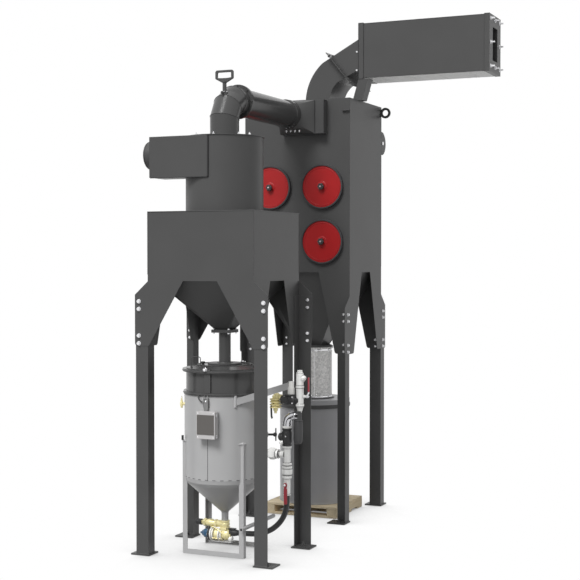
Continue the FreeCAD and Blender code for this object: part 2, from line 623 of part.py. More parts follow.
def mitred_points():
    """The kinked centre line, from inside the barrel's roof up and over to the flange."""
    points = [V(0, 0, size("barrel_top"))]
    for i in range(3):
        turn = math.radians(BEND_FIRST + i * BEND_STEP)
        points.append(V(0, size("elbow_bend") - bend_reach * math.cos(turn),
                        bend_low + bend_reach * math.sin(turn)))
    points.append(V(0, elbow_end, size("duct_height")))
    return points


def mitred_pipe(points, radius):
    """A round bar along straight runs, cut square to the bisector at each kink."""
    pieces = []
    for i in range(len(points) - 1):
        run = points[i + 1] - points[i]
        along = V(run).normalize()
        spare = radius * 0.6
        piece = Part.makeCylinder(radius, run.Length + 2 * spare, points[i] - along * spare, along)
        for near, other, sign in ((i, i - 1, -1), (i + 1, i + 2, 1)):
            if 0 < near < len(points) - 1:
                far = points[other] - points[near] if sign > 0 else points[near] - points[other]
                normal = (along + V(far).normalize()).normalize() * sign
            else:
                normal = along * sign
            cutter = Part.makeBox(6 * radius, 6 * radius, 6 * radius,
                                  V(-3 * radius, -3 * radius, 0))
            cutter.Placement = FreeCAD.Placement(points[near],
                                                 FreeCAD.Rotation(V(0, 0, 1), normal))
            piece = piece.cut(cutter)
        pieces.append(piece)
    whole = pieces[0]
    for piece in pieces[1:]:
        whole = whole.fuse(piece)
    return whole


elbow_outer = mitred_pipe(mitred_points(), size("duct_radius"))
elbow_inner = mitred_pipe(mitred_points(), size("duct_radius") - size("duct_wall"))
elbow_ring = Part.makeCylinder(size("elbow_flange"), size("elbow_flange_thick"),
                               V(0, elbow_end - size("elbow_flange_thick"), size("duct_height")),
                               V(0, 1, 0))
clamp_base = size("duct_height") + size("duct_radius") * 0.2
clamp_nut = Part.makeCylinder(size("clamp_radius"), size("clamp_height"), V(0, 0, clamp_base))
rod_passage = Part.makeCylinder(size("rod_radius") + size("fit_gap"), size("elbow_bend"),
                                V(0, 0, size("duct_height") - size("duct_radius")))
elbow = doc.addObject("Part::Feature", "elbow")
elbow.Shape = elbow_outer.fuse(elbow_ring).cut(elbow_inner).fuse(
    clamp_nut.cut(elbow_outer)).cut(rod_passage).removeSplitter()
publish(elbow, "outlet_elbow")

# The transfer duct runs level to the collector and ends in a swaged collar.
HOOD_FACE = "(dims.collector_front - dims.plenum_depth)"
DUCT_START = "(dims.elbow_bend + dims.elbow_run)"
DUCT_END = f"({HOOD_FACE} - dims.hood_length)"
duct_profile = [
    ("dims.duct_radius - dims.duct_wall", "0"),
    ("dims.elbow_flange", "0"),
    ("dims.elbow_flange", "dims.elbow_flange_thick"),
    ("dims.duct_radius", "dims.elbow_flange_thick"),
    ("dims.duct_radius", f"{DUCT_END} - {DUCT_START} - dims.seam_length"),
    ("dims.seam_radius", f"{DUCT_END} - {DUCT_START} - dims.seam_length"),
    ("dims.seam_radius", f"{DUCT_END} - {DUCT_START}"),
    ("dims.duct_radius - dims.duct_wall", f"{DUCT_END} - {DUCT_START}")]
publish(turned("duct", duct_profile, "0", DUCT_START, "dims.duct_height", ALONG_Y),
        "transfer_duct")


# Collector inlet: a shallow plenum on the front face, wider to the right than the duct,
# and a hood from its square opening to the round duct.

def hood_solid(shrink):
    """The square to round hood, or the space inside it."""
    left = size("plenum_left") + shrink
    right = size("hood_right") - shrink
    radius = size("duct_radius") - shrink
    face = size("collector_front") - size("plenum_depth")
    low = size("plenum_low") + shrink
    high = size("plenum_high") - shrink
    square = Part.makePolygon([V(left, face, low), V(right, face, low), V(right, face, high),
                               V(left, face, high), V(left, face, low)])
    corner = math.radians(45)
    centre = V(0, face - size("hood_length"), size("duct_height"))
    arcs = []
    for quarter in range(4):
        start = -3 * corner + quarter * 2 * corner
        turns = [start, start + corner, start + 2 * corner]
        three = [centre + V(radius * math.cos(a), 0, radius * math.sin(a)) for a in turns]
        arcs.append(Part.Arc(*three).toShape())
    return Part.makeLoft([Part.Wire(arcs), square], True, True)


plenum = block("plenum", "dims.plenum_right - dims.plenum_left", "dims.plenum_depth",
               "dims.plenum_high - dims.plenum_low", "dims.plenum_left", HOOD_FACE,
               "dims.plenum_low")
plenum_mouth = block("plenum_mouth", "dims.hood_right - dims.plenum_left - 2 * dims.sheet_thick",
                     "dims.plenum_depth",
                     "dims.plenum_high - dims.plenum_low - 2 * dims.sheet_thick",
                     "dims.plenum_left + dims.sheet_thick", HOOD_FACE,
                     "dims.plenum_low + dims.sheet_thick")
hood = doc.addObject("Part::Feature", "hood")
hood.Shape = hood_solid(0).cut(hood_solid(size("duct_wall")))
publish(join("inlet", hood, cut("plenum_box", plenum, plenum_mouth)), "collector_inlet")


# Vortex adjuster: a rod through the elbow's back with a D handle, held by a clamp nut.

rod = bar("rod", "dims.rod_radius", "dims.handle_base - dims.rod_tip", "0", "0", "dims.rod_tip")
funnel = turned("funnel", [
    ("0", "dims.guide_base"), ("dims.rod_radius", "dims.guide_base"),
    ("dims.clamp_radius", "dims.handle_base"), ("0", "dims.handle_base")])
grip_outer = block("grip_outer", "dims.handle_width", "dims.handle_thick", "dims.handle_height",
                   "-dims.handle_width / 2", "-dims.handle_thick / 2", "dims.handle_base")
grip_window = block("grip_window", "dims.handle_width - 2 * dims.handle_bar",
                    "dims.handle_thick", "dims.handle_height - 1.3 * dims.handle_bar",
                    "dims.handle_bar - dims.handle_width / 2", "-dims.handle_thick / 2",
                    "dims.handle_base + dims.handle_bar / 2")
grip = cut("grip", grip_outer, grip_window)
publish(join("vortex_handle", rod, funnel, grip), "vortex_handle")


# Dust collector roof, filter covers and knobs.

publish(block("collector_roof", "dims.collector_width", "dims.collector_depth",
              "dims.sheet_thick", "-dims.collector_width / 2", "dims.collector_front",
              COLLECTOR_PANEL_TOP), "collector_roof")

covers = []
knobs = []
for column in (-1, 1):
    for level in (0, 1):
        tag = f"{'left' if column < 0 else 'right'}_{'low' if level == 0 else 'high'}"
        across = f"{column} * dims.cover_spacing_wide / 2"
        up = f"dims.cover_low + {level} * dims.cover_spacing_tall"
        disc = turned("cover_" + tag, [
            ("0", "0"), ("dims.cover_radius", "0"),
            ("dims.cover_radius", "-dims.cover_thick"),
            ("dims.cover_radius - dims.cover_rim", "-dims.cover_thick"),
            ("dims.cover_radius - dims.cover_rim", "6 - dims.cover_thick"),
            ("0", "6 - dims.cover_thick")], across, "dims.collector_front", up, ALONG_Y)
        covers.append(disc)
        knob = turned("knob_" + tag, [
            ("0", "0"), ("dims.knob_radius * 0.5", "0"),
            ("dims.knob_radius * 0.5", "-dims.knob_length / 2"),
            ("dims.knob_radius", "-dims.knob_length / 2"),
            ("dims.knob_radius", "-dims.knob_length"), ("0", "-dims.knob_length")],
            across, "dims.collector_front + 6 - dims.cover_thick", up, ALONG_Y)
        knobs.append(knob)


def group(name, parts):
    """Like pieces that don't touch, kept together."""
    part = doc.addObject("Part::Compound", name)
    part.Links = parts
    return part


publish(group("covers", covers), "filter_covers")
publish(group("knobs", knobs), "cover_knobs")


# Exhaust: a square elbow from the roof and a straight piece into the silencer.

EXHAUST_TURN = 50.5
silencer_base = size("collector_top") + size("silencer_gap")


def exhaust_solid(skin):
    """The elbow and the straight piece behind it, or with a skin the space inside them."""
    turn = math.radians(EXHAUST_TURN)
    hub = V(size("exhaust_left") + size("exhaust_width") + size("exhaust_bend"),
            size("exhaust_front") + skin, size("collector_top"))
    outer = size("exhaust_width") + size("exhaust_bend") - skin
    inner = size("exhaust_bend") + skin

    def at(radius, angle):
        return hub + V(-radius * math.cos(angle), 0, radius * math.sin(angle))
    high = V(size("silencer_left"), hub.y, silencer_base + size("exhaust_entry_high") - skin)
    low = V(size("silencer_left"), hub.y, silencer_base + size("exhaust_entry_low") + skin)
    edges = [
        Part.makeLine(at(inner, 0), at(outer, 0)),
        Part.Arc(at(outer, 0), at(outer, turn / 2), at(outer, turn)).toShape(),
        Part.makeLine(at(outer, turn), high), Part.makeLine(high, low),
        Part.makeLine(low, at(inner, turn)),
        Part.Arc(at(inner, turn), at(inner, turn / 2), at(inner, 0)).toShape()]
    return Part.Face(Part.Wire(edges)).extrude(V(0, size("exhaust_depth") - 2 * skin, 0))


def exhaust_plate(thick):
    """The flange plate round the straight piece, square to the end of the bend."""
    turn = math.radians(EXHAUST_TURN)
    wide = size("exhaust_flange")
    deep = size("exhaust_depth") + 2 * size("exhaust_flange_past")
    plate = Part.makeBox(wide, deep, thick, V(-wide / 2, 0, -thick / 2))
    centre = V(size("exhaust_flange_reach"),
               size("exhaust_front") - size("exhaust_flange_past"),
               size("collector_top") + size("exhaust_flange_rise"))
    plate.Placement = FreeCAD.Placement(
        centre, FreeCAD.Rotation(V(0, 0, 1), V(math.sin(turn), 0, math.cos(turn))))
    return plate


skin = size("exhaust_wall")
exhaust = doc.addObject("Part::Feature", "exhaust")
exhaust.Shape = exhaust_solid(0).fuse(exhaust_plate(2 * skin)).cut(exhaust_solid(skin))
publish(exhaust, "exhaust_elbow")

SILENCER_MIDDLE = "(dims.exhaust_front + dims.exhaust_depth / 2)"
SILENCER_BASE = "(dims.collector_top + dims.silencer_gap)"
case = block("silencer_case", "dims.silencer_length", "dims.exhaust_depth",
             "dims.silencer_height", "dims.silencer_left", "dims.exhaust_front",
             SILENCER_BASE)
frames = []
for end in (0, 1):
    frames.append(block(f"silencer_frame_{end}", "dims.silencer_frame",
                        "dims.exhaust_depth + 2 * dims.silencer_lip",
                        "dims.silencer_height + 2 * dims.silencer_lip",
                        f"dims.silencer_left + {end} * (dims.silencer_length"
                        " - dims.silencer_frame)",
                        "dims.exhaust_front - dims.silencer_lip",
                        f"{SILENCER_BASE} - dims.silencer_lip"))
slot = block("silencer_slot", "dims.silencer_length", "dims.silencer_slot_wide",
             "dims.silencer_slot_tall", "dims.silencer_left",
             f"{SILENCER_MIDDLE} - dims.silencer_slot_wide / 2",
             f"{SILENCER_BASE} + (dims.silencer_height - dims.silencer_slot_tall) / 2")
publish(cut("silencer", join("silencer_solid", case, *frames), slot), "silencer")

strut = slab("strut", "XZ_Plane", [
    ("dims.strut_left", "dims.collector_top"),
    ("dims.strut_left + dims.strut_width", "dims.collector_top"),
    ("dims.strut_left + dims.strut_lean + dims.strut_width",
     f"{SILENCER_BASE} - dims.silencer_lip"),
    ("dims.strut_left + dims.strut_lean", f"{SILENCER_BASE} - dims.silencer_lip")],
    "dims.strut_depth", "0", "dims.exhaust_front", "0", True)
publish(strut, "silencer_strut")


# Behind the collector: the compressed air tank on two saddles, and the lifting eyes.

COLLECTOR_REAR = "(dims.collector_front + dims.collector_depth)"
tank = bar("tank", "dims.manifold_radius", "dims.manifold_length",
           "-dims.manifold_length / 2",
           f"{COLLECTOR_REAR} + dims.manifold_radius + dims.manifold_gap",
           "dims.manifold_height", ALONG_X)
saddles = []
for side in (-1, 1):
    saddles.append(block(f"saddle_{'left' if side < 0 else 'right'}", "dims.saddle_width",
                         "dims.manifold_radius + dims.manifold_gap", "dims.saddle_height",
                         f"{side} * dims.manifold_length / 3 - dims.saddle_width / 2",
                         COLLECTOR_REAR, "dims.manifold_height - dims.saddle_height / 2"))
publish(join("air_tank", tank, *saddles), "air_tank")

eyes = []
for side in (-1, 1):
    tag = "left" if side < 0 else "right"
    middle = f"{side} * (dims.collector_width / 2 + dims.eye_radius - dims.eye_seat)"
    loop = bar("eye_" + tag, "dims.eye_radius", "dims.eye_thick", middle,
               f"{COLLECTOR_REAR} - dims.eye_thick", "dims.collector_top - dims.eye_drop",
               ALONG_Y)
    hole = bar("eye_hole_" + tag, "dims.eye_hole", "dims.eye_thick", middle,
               f"{COLLECTOR_REAR} - dims.eye_thick", "dims.collector_top - dims.eye_drop",
               ALONG_Y)
    casing = block("eye_casing_" + tag, "dims.collector_width", "2 * dims.eye_thick",
                   "4 * dims.eye_radius", "-dims.collector_width / 2",
                   f"{COLLECTOR_REAR} - 2 * dims.eye_thick",
                   "dims.collector_top - dims.eye_drop - 2 * dims.eye_radius")
    eyes.append(cut("eye_cut_" + tag, loop, join("eye_tools_" + tag, hole, casing)))
publish(group("eyes", eyes), "lifting_eyes")


# Dust sleeve, drum, lid and pallet under the collector.

LID_FACE = "(dims.drum_top + dims.lid_thick)"
SLEEVE_TOP = "(dims.collector_outlet - dims.flange_thick)"
publish(turned("sleeve", [
    ("dims.sleeve_radius - dims.sleeve_wall", LID_FACE),
    ("dims.sleeve_radius", LID_FACE),
    ("dims.sleeve_radius", f"{SLEEVE_TOP} - dims.flange_thick"),
    ("dims.sleeve_flange", f"{SLEEVE_TOP} - dims.flange_thick"),
    ("dims.sleeve_flange", SLEEVE_TOP),
    ("dims.sleeve_radius - dims.sleeve_wall", SLEEVE_TOP)], "0", COLLECTOR_MIDDLE),
    "dust_sleeve")
publish(turned("lid", [
    ("dims.sleeve_radius - dims.sleeve_wall", "dims.drum_top"),
    ("dims.drum_radius + dims.fit_gap", "dims.drum_top"),
    ("dims.drum_radius + dims.fit_gap", "dims.drum_top - dims.lid_skirt"),
    ("dims.lid_radius", "dims.drum_top - dims.lid_skirt"),
    ("dims.lid_radius", LID_FACE),
    ("dims.sleeve_radius - dims.sleeve_wall", LID_FACE)], "0", COLLECTOR_MIDDLE), "drum_lid")
publish(turned("drum", [
    ("0", "dims.pallet_height"), ("dims.drum_radius", "dims.pallet_height"),
    ("dims.drum_radius", "dims.drum_top"),
    ("dims.drum_radius - dims.sheet_thick", "dims.drum_top"),
    ("dims.drum_radius - dims.sheet_thick", "dims.pallet_height + dims.sheet_thick"),
    ("0", "dims.pallet_height + dims.sheet_thick")], "0", COLLECTOR_MIDDLE), "dust_drum")

boards = []
for place in (-1, 0, 1):
    boards.append(block(f"bearer_{place + 1}", "dims.bearer_width", "dims.pallet_depth",
                        "dims.pallet_height - 2 * dims.board_thick",
                        f"{place} * (dims.pallet_width - dims.bearer_width) / 2"
                        " - dims.bearer_width / 2",
                        f"{COLLECTOR_MIDDLE} - dims.pallet_depth / 2", "dims.board_thick"))
for level, up in (("low", "0"), ("high", "dims.pallet_height - dims.board_thick")):
    boards.append(block("boards_" + level, "dims.pallet_width", "dims.pallet_depth",
                        "dims.board_thick", "-dims.pallet_width / 2",
                        f"{COLLECTOR_MIDDLE} - dims.pallet_depth / 2", up))
publish(join("pallet", *boards), "pallet")


# Blast pot: shell with a cone and a neck, dark screen collar, lid and stand.


def knuckle(radius):
    """Three points that round the corner where the cone meets the shell."""
    return [(f"{radius} - dims.pot_knuckle * 0.745", "dims.pot_cone_top - dims.pot_knuckle * 0.667"),
            (f"{radius} - dims.pot_knuckle * 0.194", "dims.pot_cone_top + dims.pot_knuckle * 0.087"),
            (radius, "dims.pot_cone_top + dims.pot_knuckle")]


pot_envelope = turned("pot_envelope", [
    ("0", "dims.pot_neck_low"), ("dims.pot_neck_radius", "dims.pot_neck_low"),
    ("dims.pot_neck_radius", "dims.pot_neck_top")] + knuckle("dims.pot_radius") + [
    ("dims.pot_radius", "dims.pot_shell_top"), ("0", "dims.pot_shell_top")])
pot_skin = turned("pot_skin", [
    ("dims.pot_neck_radius - dims.pot_wall", "dims.pot_neck_low"),
    ("dims.pot_neck_radius", "dims.pot_neck_low"),
    ("dims.pot_neck_radius", "dims.pot_neck_top")] + knuckle("dims.pot_radius") + [
    ("dims.pot_radius", "dims.pot_shell_top"),
    ("dims.pot_radius - dims.pot_wall", "dims.pot_shell_top")]
    + knuckle("(dims.pot_radius - dims.pot_wall)")[::-1] + [
    ("dims.pot_neck_radius - dims.pot_wall", "dims.pot_neck_top")])
WHEEL_TURN = FreeCAD.Rotation(V(0, 0, 1), V(math.cos(math.radians(size("wheel_angle"))),
                                            math.sin(math.radians(size("wheel_angle"))), 0))
boss_bar = ring("boss_bar", "dims.boss_radius", "dims.stem_radius + dims.fit_gap",
                "dims.pot_radius * 0.9", "dims.boss_reach", "0", "0", "dims.wheel_height",
                WHEEL_TURN)
publish(join("pot", pot_skin, cut("boss", boss_bar, pot_envelope)), "pot_shell")
publish(turned("collar", [
    ("dims.collar_radius - dims.pot_wall", "dims.pot_shell_top"),
    ("dims.bead_radius", "dims.pot_shell_top"),
    ("dims.bead_radius", "dims.pot_shell_top + dims.bead_height"),
    ("dims.collar_radius", "dims.pot_shell_top + dims.bead_height"),
    ("dims.collar_radius", "dims.collar_top"),
    ("dims.rim_radius", "dims.collar_top"),
    ("dims.rim_radius", "dims.collar_top + dims.rim_height"),
    ("dims.collar_radius - dims.pot_wall", "dims.collar_top + dims.rim_height")]),
    "pot_collar")
RIM_TOP = "(dims.collar_top + dims.rim_height)"
publish(turned("pot_lid", [
    ("0", RIM_TOP), ("dims.collar_radius", RIM_TOP),
    ("dims.collar_radius", f"{RIM_TOP} + 6"),
    ("dims.collar_radius * 0.72", LID_TOP), ("0", LID_TOP)]), "pot_lid")


def stand_leg(tag, side, end):
    """An upright angle of the pot stand, open towards the outside."""
    def corner(along, deep):
        return (f"{side} * (dims.frame_half - ({along}))",
                f"{end} * (dims.frame_half_depth - ({deep}))")
    return slab("stand_leg_" + tag, "XY_Plane",
                [corner("0", "0"), corner("dims.frame_leg", "0"),
                 corner("dims.frame_leg", "dims.frame_wall"),
                 corner("dims.frame_wall", "dims.frame_wall"),
                 corner("dims.frame_wall", "dims.frame_leg"), corner("0", "dims.frame_leg")],
                "dims.frame_top")


stand = []
for corner_name, side, end in SIDES:
    stand.append(stand_leg(corner_name, side, end))
for end in (-1, 1):
    low = "-dims.frame_half_depth" if end < 0 else "dims.frame_half_depth - dims.frame_wall"
    stand.append(block(f"stand_bar_{'front' if end < 0 else 'rear'}",
                       "2 * dims.frame_half", "dims.frame_wall", "dims.frame_bar",
                       "-dims.frame_half", low, "0"))
stand.append(bar("stand_tube", "dims.tube_radius",
                 "2 * dims.frame_half_depth + dims.tube_front + dims.tube_rear",
                 "dims.frame_half", "-dims.frame_half_depth - dims.tube_front",
                 "dims.tube_height", ALONG_Y))
publish(cut("stand", join("stand_weld", *stand), pot_envelope), "pot_stand")


# Control box on the front of the pot, on a pad that fits the shell.

BOX_BACK = "(-dims.pot_radius)"
box_case = block("box_case", "dims.box_width", "dims.box_depth", "dims.box_height",
                 "-dims.box_left", f"{BOX_BACK} - dims.box_depth", "dims.box_base")
box_pad = block("box_pad", "dims.box_width * 0.4", "dims.pot_radius * 0.2",
                "dims.box_height * 0.6", "dims.box_width * 0.4 - dims.box_left", BOX_BACK,
                "dims.box_base + dims.box_height * 0.2")
publish(join("control", box_case, cut("box_seat", box_pad, pot_envelope)), "control_box")


# Metering valve under the pot: an upright body below the neck, a side port to the left
# with its coupling, a cross body with the actuator to the left and the hose to the right.

meter_upright = bar("meter_upright", "dims.pot_neck_radius + 8",
                    "dims.pot_neck_low - dims.valve_axis", "0", "0", "dims.valve_axis")
meter_cross = bar("meter_cross", "dims.valve_radius", "dims.valve_left + dims.valve_right",
                  "-dims.valve_left", "0", "dims.valve_axis", ALONG_X)
meter_port = bar("meter_port", "dims.air_port_radius", "dims.air_port_reach",
                 "-dims.air_port_reach", "0", "dims.air_port_axis", ALONG_X)
meter_coupling = bar("meter_coupling", "dims.air_port_radius - dims.coupling_step",
                     "dims.coupling_length", "-dims.air_port_reach - dims.coupling_length",
                     "0", "dims.air_port_axis", ALONG_X)
meter_outlet = bar("meter_outlet", "dims.hose_radius + 6", "dims.hose_start", "0", "0",
                   "dims.hose_low", ALONG_X)
publish(join("meter", meter_upright, meter_cross, meter_port, meter_coupling, meter_outlet),
        "metering_valve")
publish(turned("actuator", [
    ("0", "0"), ("dims.disc_radius", "0"), ("dims.disc_radius", "dims.disc_thick"),
    ("dims.actuator_radius", "dims.disc_thick"),
    ("dims.actuator_radius", "dims.disc_thick + dims.actuator_length - 8"),
    ("dims.actuator_radius - 8", "dims.disc_thick + dims.actuator_length"),
    ("0", "dims.disc_thick + dims.actuator_length")],
    "-dims.valve_left", "0", "dims.valve_axis", FreeCAD.Rotation(V(0, 1, 0), -90)),
    "valve_actuator")


# Blast hose from the metering valve round and up into the riser: straight runs joined by
# tangent arcs, each as large as its two runs allow.

HOSE_BENDS = [(187, 139), (298.6, 148.8), (395.4, 191.9), (467.5, 264), (507, 356)]
route = [V(size("hose_start"), 0, size("hose_low"))]
route += [V(across, 0, up) for across, up in HOSE_BENDS]
route.append(V(size("line_reach"), 0, size("hose_end")))
route[1].z = route[0].z
route[-2].x = route[-1].x


def rounded_route(points):
    """Straight runs with an arc at each bend, as one wire; prints the arc radii."""
    edges = []
    last = points[0]
    radii = []
    for before, corner, after in zip(points, points[1:], points[2:]):
        back = (before - corner)
        ahead = (after - corner)
        reach = 0.45 * min(back.Length, ahead.Length)
        half_turn = (math.pi - back.getAngle(ahead)) / 2
        radius = reach / math.tan(half_turn)
        start = corner + back.normalize() * reach
        end = corner + ahead.normalize() * reach
        middle = (back + ahead).normalize()
        crown = corner + middle * (radius / math.cos(half_turn) - radius)
        edges.append(Part.makeLine(last, start))
        edges.append(Part.Arc(start, crown, end).toShape())
        last = end
        radii.append(round(radius, 1))
    edges.append(Part.makeLine(last, points[-1]))
    print("hose bend radii", radii)
    return Part.Wire(edges)


hose_path = rounded_route(route)
hose_section = Part.Wire(Part.makeCircle(size("hose_radius"), route[0], V(1, 0, 0)))
hose = doc.addObject("Part::Feature", "hose")
hose.Shape = hose_path.makePipeShell([hose_section], True, True)
print("hose length", round(hose_path.Length, 1), "volume ratio",
      round(hose.Shape.Volume / (math.pi * size("hose_radius") ** 2 * hose_path.Length), 4))
publish(hose, "blast_hose")


# Riser: hose fitting, union nuts and tee of white pipe, fed from the pot by a short branch.

LINE = "dims.line_reach"
riser_turn = turned("riser_turn", [
    ("0", "dims.hose_end"), ("dims.riser_radius", "dims.hose_end"),
    ("dims.riser_radius", "dims.union_low"), ("dims.union_radius", "dims.union_low"),
    ("dims.union_radius", "dims.union_high"), ("dims.riser_radius + 4", "dims.union_high"),
    ("dims.riser_radius + 4", "dims.riser_top"), ("0", "dims.riser_top")], LINE)
branch_bar = bar("branch_bar", "dims.branch_radius", LINE, "0", "0", "dims.branch_height",
                 ALONG_X)
nut = doc.addObject("Part::Prism", "branch_nut")
nut.Polygon = 6
nut.setExpression("Circumradius", "dims.branch_nut")
nut.setExpression("Height", "2 * dims.branch_nut")
put(nut, "(dims.pot_radius + dims.line_reach) / 2 - dims.branch_nut", "0",
    "dims.branch_height", ALONG_X)
branch = cut("branch", join("branch_weld", branch_bar, nut), pot_envelope)
spindle = bar("spindle", "dims.spindle_radius", "dims.riser_radius + dims.spindle_length",
              LINE, "-dims.riser_radius - dims.spindle_length", "dims.lever_height", ALONG_Y)
publish(join("riser", riser_turn, branch, spindle), "riser_pipe")


# Pinch valve over the riser, its side port, the bright bend and the muffler.

pinch_turn = turned("pinch_turn", [
    ("0", "dims.riser_top"), ("dims.pinch_radius", "dims.riser_top"),
    ("dims.pinch_radius", "dims.pinch_top"), ("0", "dims.pinch_top")], LINE)
pinch_side = bar("pinch_side", "dims.pinch_radius * 0.75", "dims.pinch_port",
                 "dims.line_reach - dims.pinch_port", "0",
                 "(dims.riser_top + dims.pinch_top) / 2", ALONG_X)
publish(join("pinch", pinch_turn, pinch_side), "pinch_valve")

bend_start = V(size("line_reach"), 0, size("pinch_top"))
half = math.tan(math.radians(22.5)) * size("bend_turn")
kink = bend_start + V(0, 0, size("bend_rise") + half)
slope = V(1, 0, 1).normalize()
# the bend ends on the side of the coupling over the muffler
over = size("muffler_reach") - size("line_reach")
bend_end = kink + slope * (over / slope.x)
bend_edges = [Part.makeLine(bend_start, kink - V(0, 0, half)),
              Part.Arc(kink - V(0, 0, half),
                       kink + (slope - V(0, 0, 1)).normalize()
                       * size("bend_turn") * (1 / math.cos(math.radians(22.5)) - 1),
                       kink + slope * half).toShape(),
              Part.makeLine(kink + slope * half, bend_end)]
bend_section = Part.Wire(Part.makeCircle(size("bend_radius"), bend_start, V(0, 0, 1)))
neck_space = Part.makeCylinder(size("neck_radius"), size("neck_top") - size("muffler_top"),
                               V(size("muffler_reach"), 0, size("muffler_top"))).fuse(
    Part.makeCylinder(size("muffler_radius"), size("muffler_top") - size("muffler_low"),
                      V(size("muffler_reach"), 0, size("muffler_low"))))
bend = doc.addObject("Part::Feature", "bend")
bend.Shape = Part.Wire(bend_edges).makePipeShell([bend_section], True, True).cut(neck_space)
publish(bend, "bright_bend")

publish(turned("muffler", [
    ("0", "dims.muffler_low"), ("dims.muffler_radius * 0.55", "dims.muffler_low"),
    ("dims.muffler_radius * 0.9", "dims.muffler_low + dims.muffler_radius * 0.4"),
    ("dims.muffler_radius", "dims.muffler_low + dims.muffler_radius"),
    ("dims.muffler_radius", "dims.muffler_top"), ("dims.neck_radius", "dims.muffler_top"),
    ("dims.neck_radius", "dims.neck_top"), ("0", "dims.neck_top")], "dims.muffler_reach"),
    "muffler")

stack_turn = turned("stack_turn", [
    ("0", "dims.neck_top"), ("dims.stack_radius * 0.7", "dims.neck_top"),
    ("dims.stack_radius", "dims.neck_top + dims.stack_radius"),
    ("dims.stack_radius", "dims.stack_top"), ("0", "dims.stack_top")], "dims.stack_reach")
stack_port = bar("stack_port", "dims.stack_radius * 0.75", "2 * dims.stack_radius",
                 "dims.stack_reach", "0", "dims.stack_top - 90",
                 FreeCAD.Rotation(V(0, 1, 0), 45))
stack_spindle = bar("stack_spindle", "dims.spindle_radius", "dims.stack_radius + dims.crank_gap",
                    "dims.stack_reach", "0", "dims.crank_height", ALONG_X)
publish(join("stack", stack_turn, stack_port, stack_spindle), "air_pipe")


# Pilot block between the air pipe and the brass regulator, on a flat bar from the pot.

pilot_bar = bar("pilot_bar", "dims.block_radius", "dims.stack_reach - dims.block_left",
                "dims.block_left", "0", "dims.block_axis", ALONG_X)
pilot_cap = bar("pilot_cap", "dims.cap_radius", "dims.cap_top - dims.block_axis",
                "dims.cap_reach", "0", "dims.block_axis")
stack_space = bar("stack_space", "dims.stack_radius", "dims.stack_top", "dims.stack_reach",
                  "0", "0")
publish(cut("pilot", join("pilot_weld", pilot_bar, pilot_cap), stack_space), "pilot_block")

regulator_parts = [bar("regulator_body", "dims.brass_radius", "dims.brass_top - dims.brass_low",
                       "dims.brass_reach", "0", "dims.brass_low"),
                   bar("regulator_stub", "dims.brass_radius * 0.8",
                       "dims.block_left - dims.brass_reach", "dims.brass_reach", "0",
                       "dims.block_axis", ALONG_X)]
for step in range(3):
    regulator_parts.append(bar(f"regulator_fin_{step}", "dims.brass_radius * 1.5", "9",
                               "dims.brass_reach", "0",
                               f"dims.brass_top - 30 - {step} * 22"))
publish(join("regulator", *regulator_parts), "brass_regulator")

bar_from = math.radians(size("bracket_angle"))
foot = V(size("pot_radius") * math.sin(bar_from), -size("pot_radius") * math.cos(bar_from), 0)
aim = V(size("cap_reach"), size("bracket_thick"), 0) - foot
aim_angle = math.degrees(math.atan2(aim.y, aim.x))
flat = slab("flat_bar", "XZ_Plane", [
    ("-dims.bracket_lap", "dims.bracket_low"), (f"{aim.Length}", "dims.bracket_low + dims.bracket_rise"),
    (f"{aim.Length}", "dims.bracket_low + dims.bracket_rise + dims.bracket_height"),
    ("-dims.bracket_lap", "dims.bracket_low + dims.bracket_height")], "dims.bracket_thick",
    "dims.pot_radius * sin(dims.bracket_angle * 1 deg)",
    "-dims.pot_radius * cos(dims.bracket_angle * 1 deg)", "0")
flat.Placement = FreeCAD.Placement(foot, FreeCAD.Rotation(V(0, 0, 1), aim_angle))
flat_tools = join("flat_tools", pot_envelope, bar(
    "block_space", "dims.block_radius", "dims.stack_reach - dims.block_left",
    "dims.block_left", "0", "dims.block_axis", ALONG_X), bar(
    "cap_space", "dims.cap_radius", "dims.cap_top - dims.block_axis", "dims.cap_reach", "0",
    "dims.block_axis"))
publish(cut("flat", flat, flat_tools), "pipe_bracket")


# Levers and handwheel, each on its own spindle.

LEVER_FACE = "(dims.riser_radius + dims.spindle_length)"
lever_hub = bar("lever_hub", "dims.lever_width / 2", "dims.lever_thick", LINE,
                f"-{LEVER_FACE} - dims.lever_thick", "dims.lever_height", ALONG_Y)
lever_arm = block("lever_arm", "dims.lever_width", "dims.lever_thick", "dims.lever_length",
                  "dims.line_reach - dims.lever_width / 2",
                  f"-{LEVER_FACE} - dims.lever_thick",
                  "dims.lever_height - dims.lever_length")
publish(join("lower_lever", lever_hub, lever_arm), "lower_lever")

CRANK_FACE = "(dims.stack_reach + dims.stack_radius + dims.crank_gap)"
crank = slab("crank", "XZ_Plane", [
    ("0", "-dims.crank_width / 2"), ("dims.lever_thick", "-dims.crank_width / 2"),
    ("dims.lever_thick", "dims.crank_width / 2"),
    ("dims.crank_offset + dims.lever_thick", "dims.crank_width / 2 + 16"),
    ("dims.crank_offset + dims.lever_thick", "dims.lever_length - 5"),
    ("dims.crank_offset", "dims.lever_length - 5"),
    ("dims.crank_offset", "dims.crank_width / 2 + 18"), ("0", "dims.crank_width / 2 + 2")],
    "dims.crank_width", CRANK_FACE, "dims.crank_width / 2", "dims.crank_height")
publish(crank, "upper_lever")

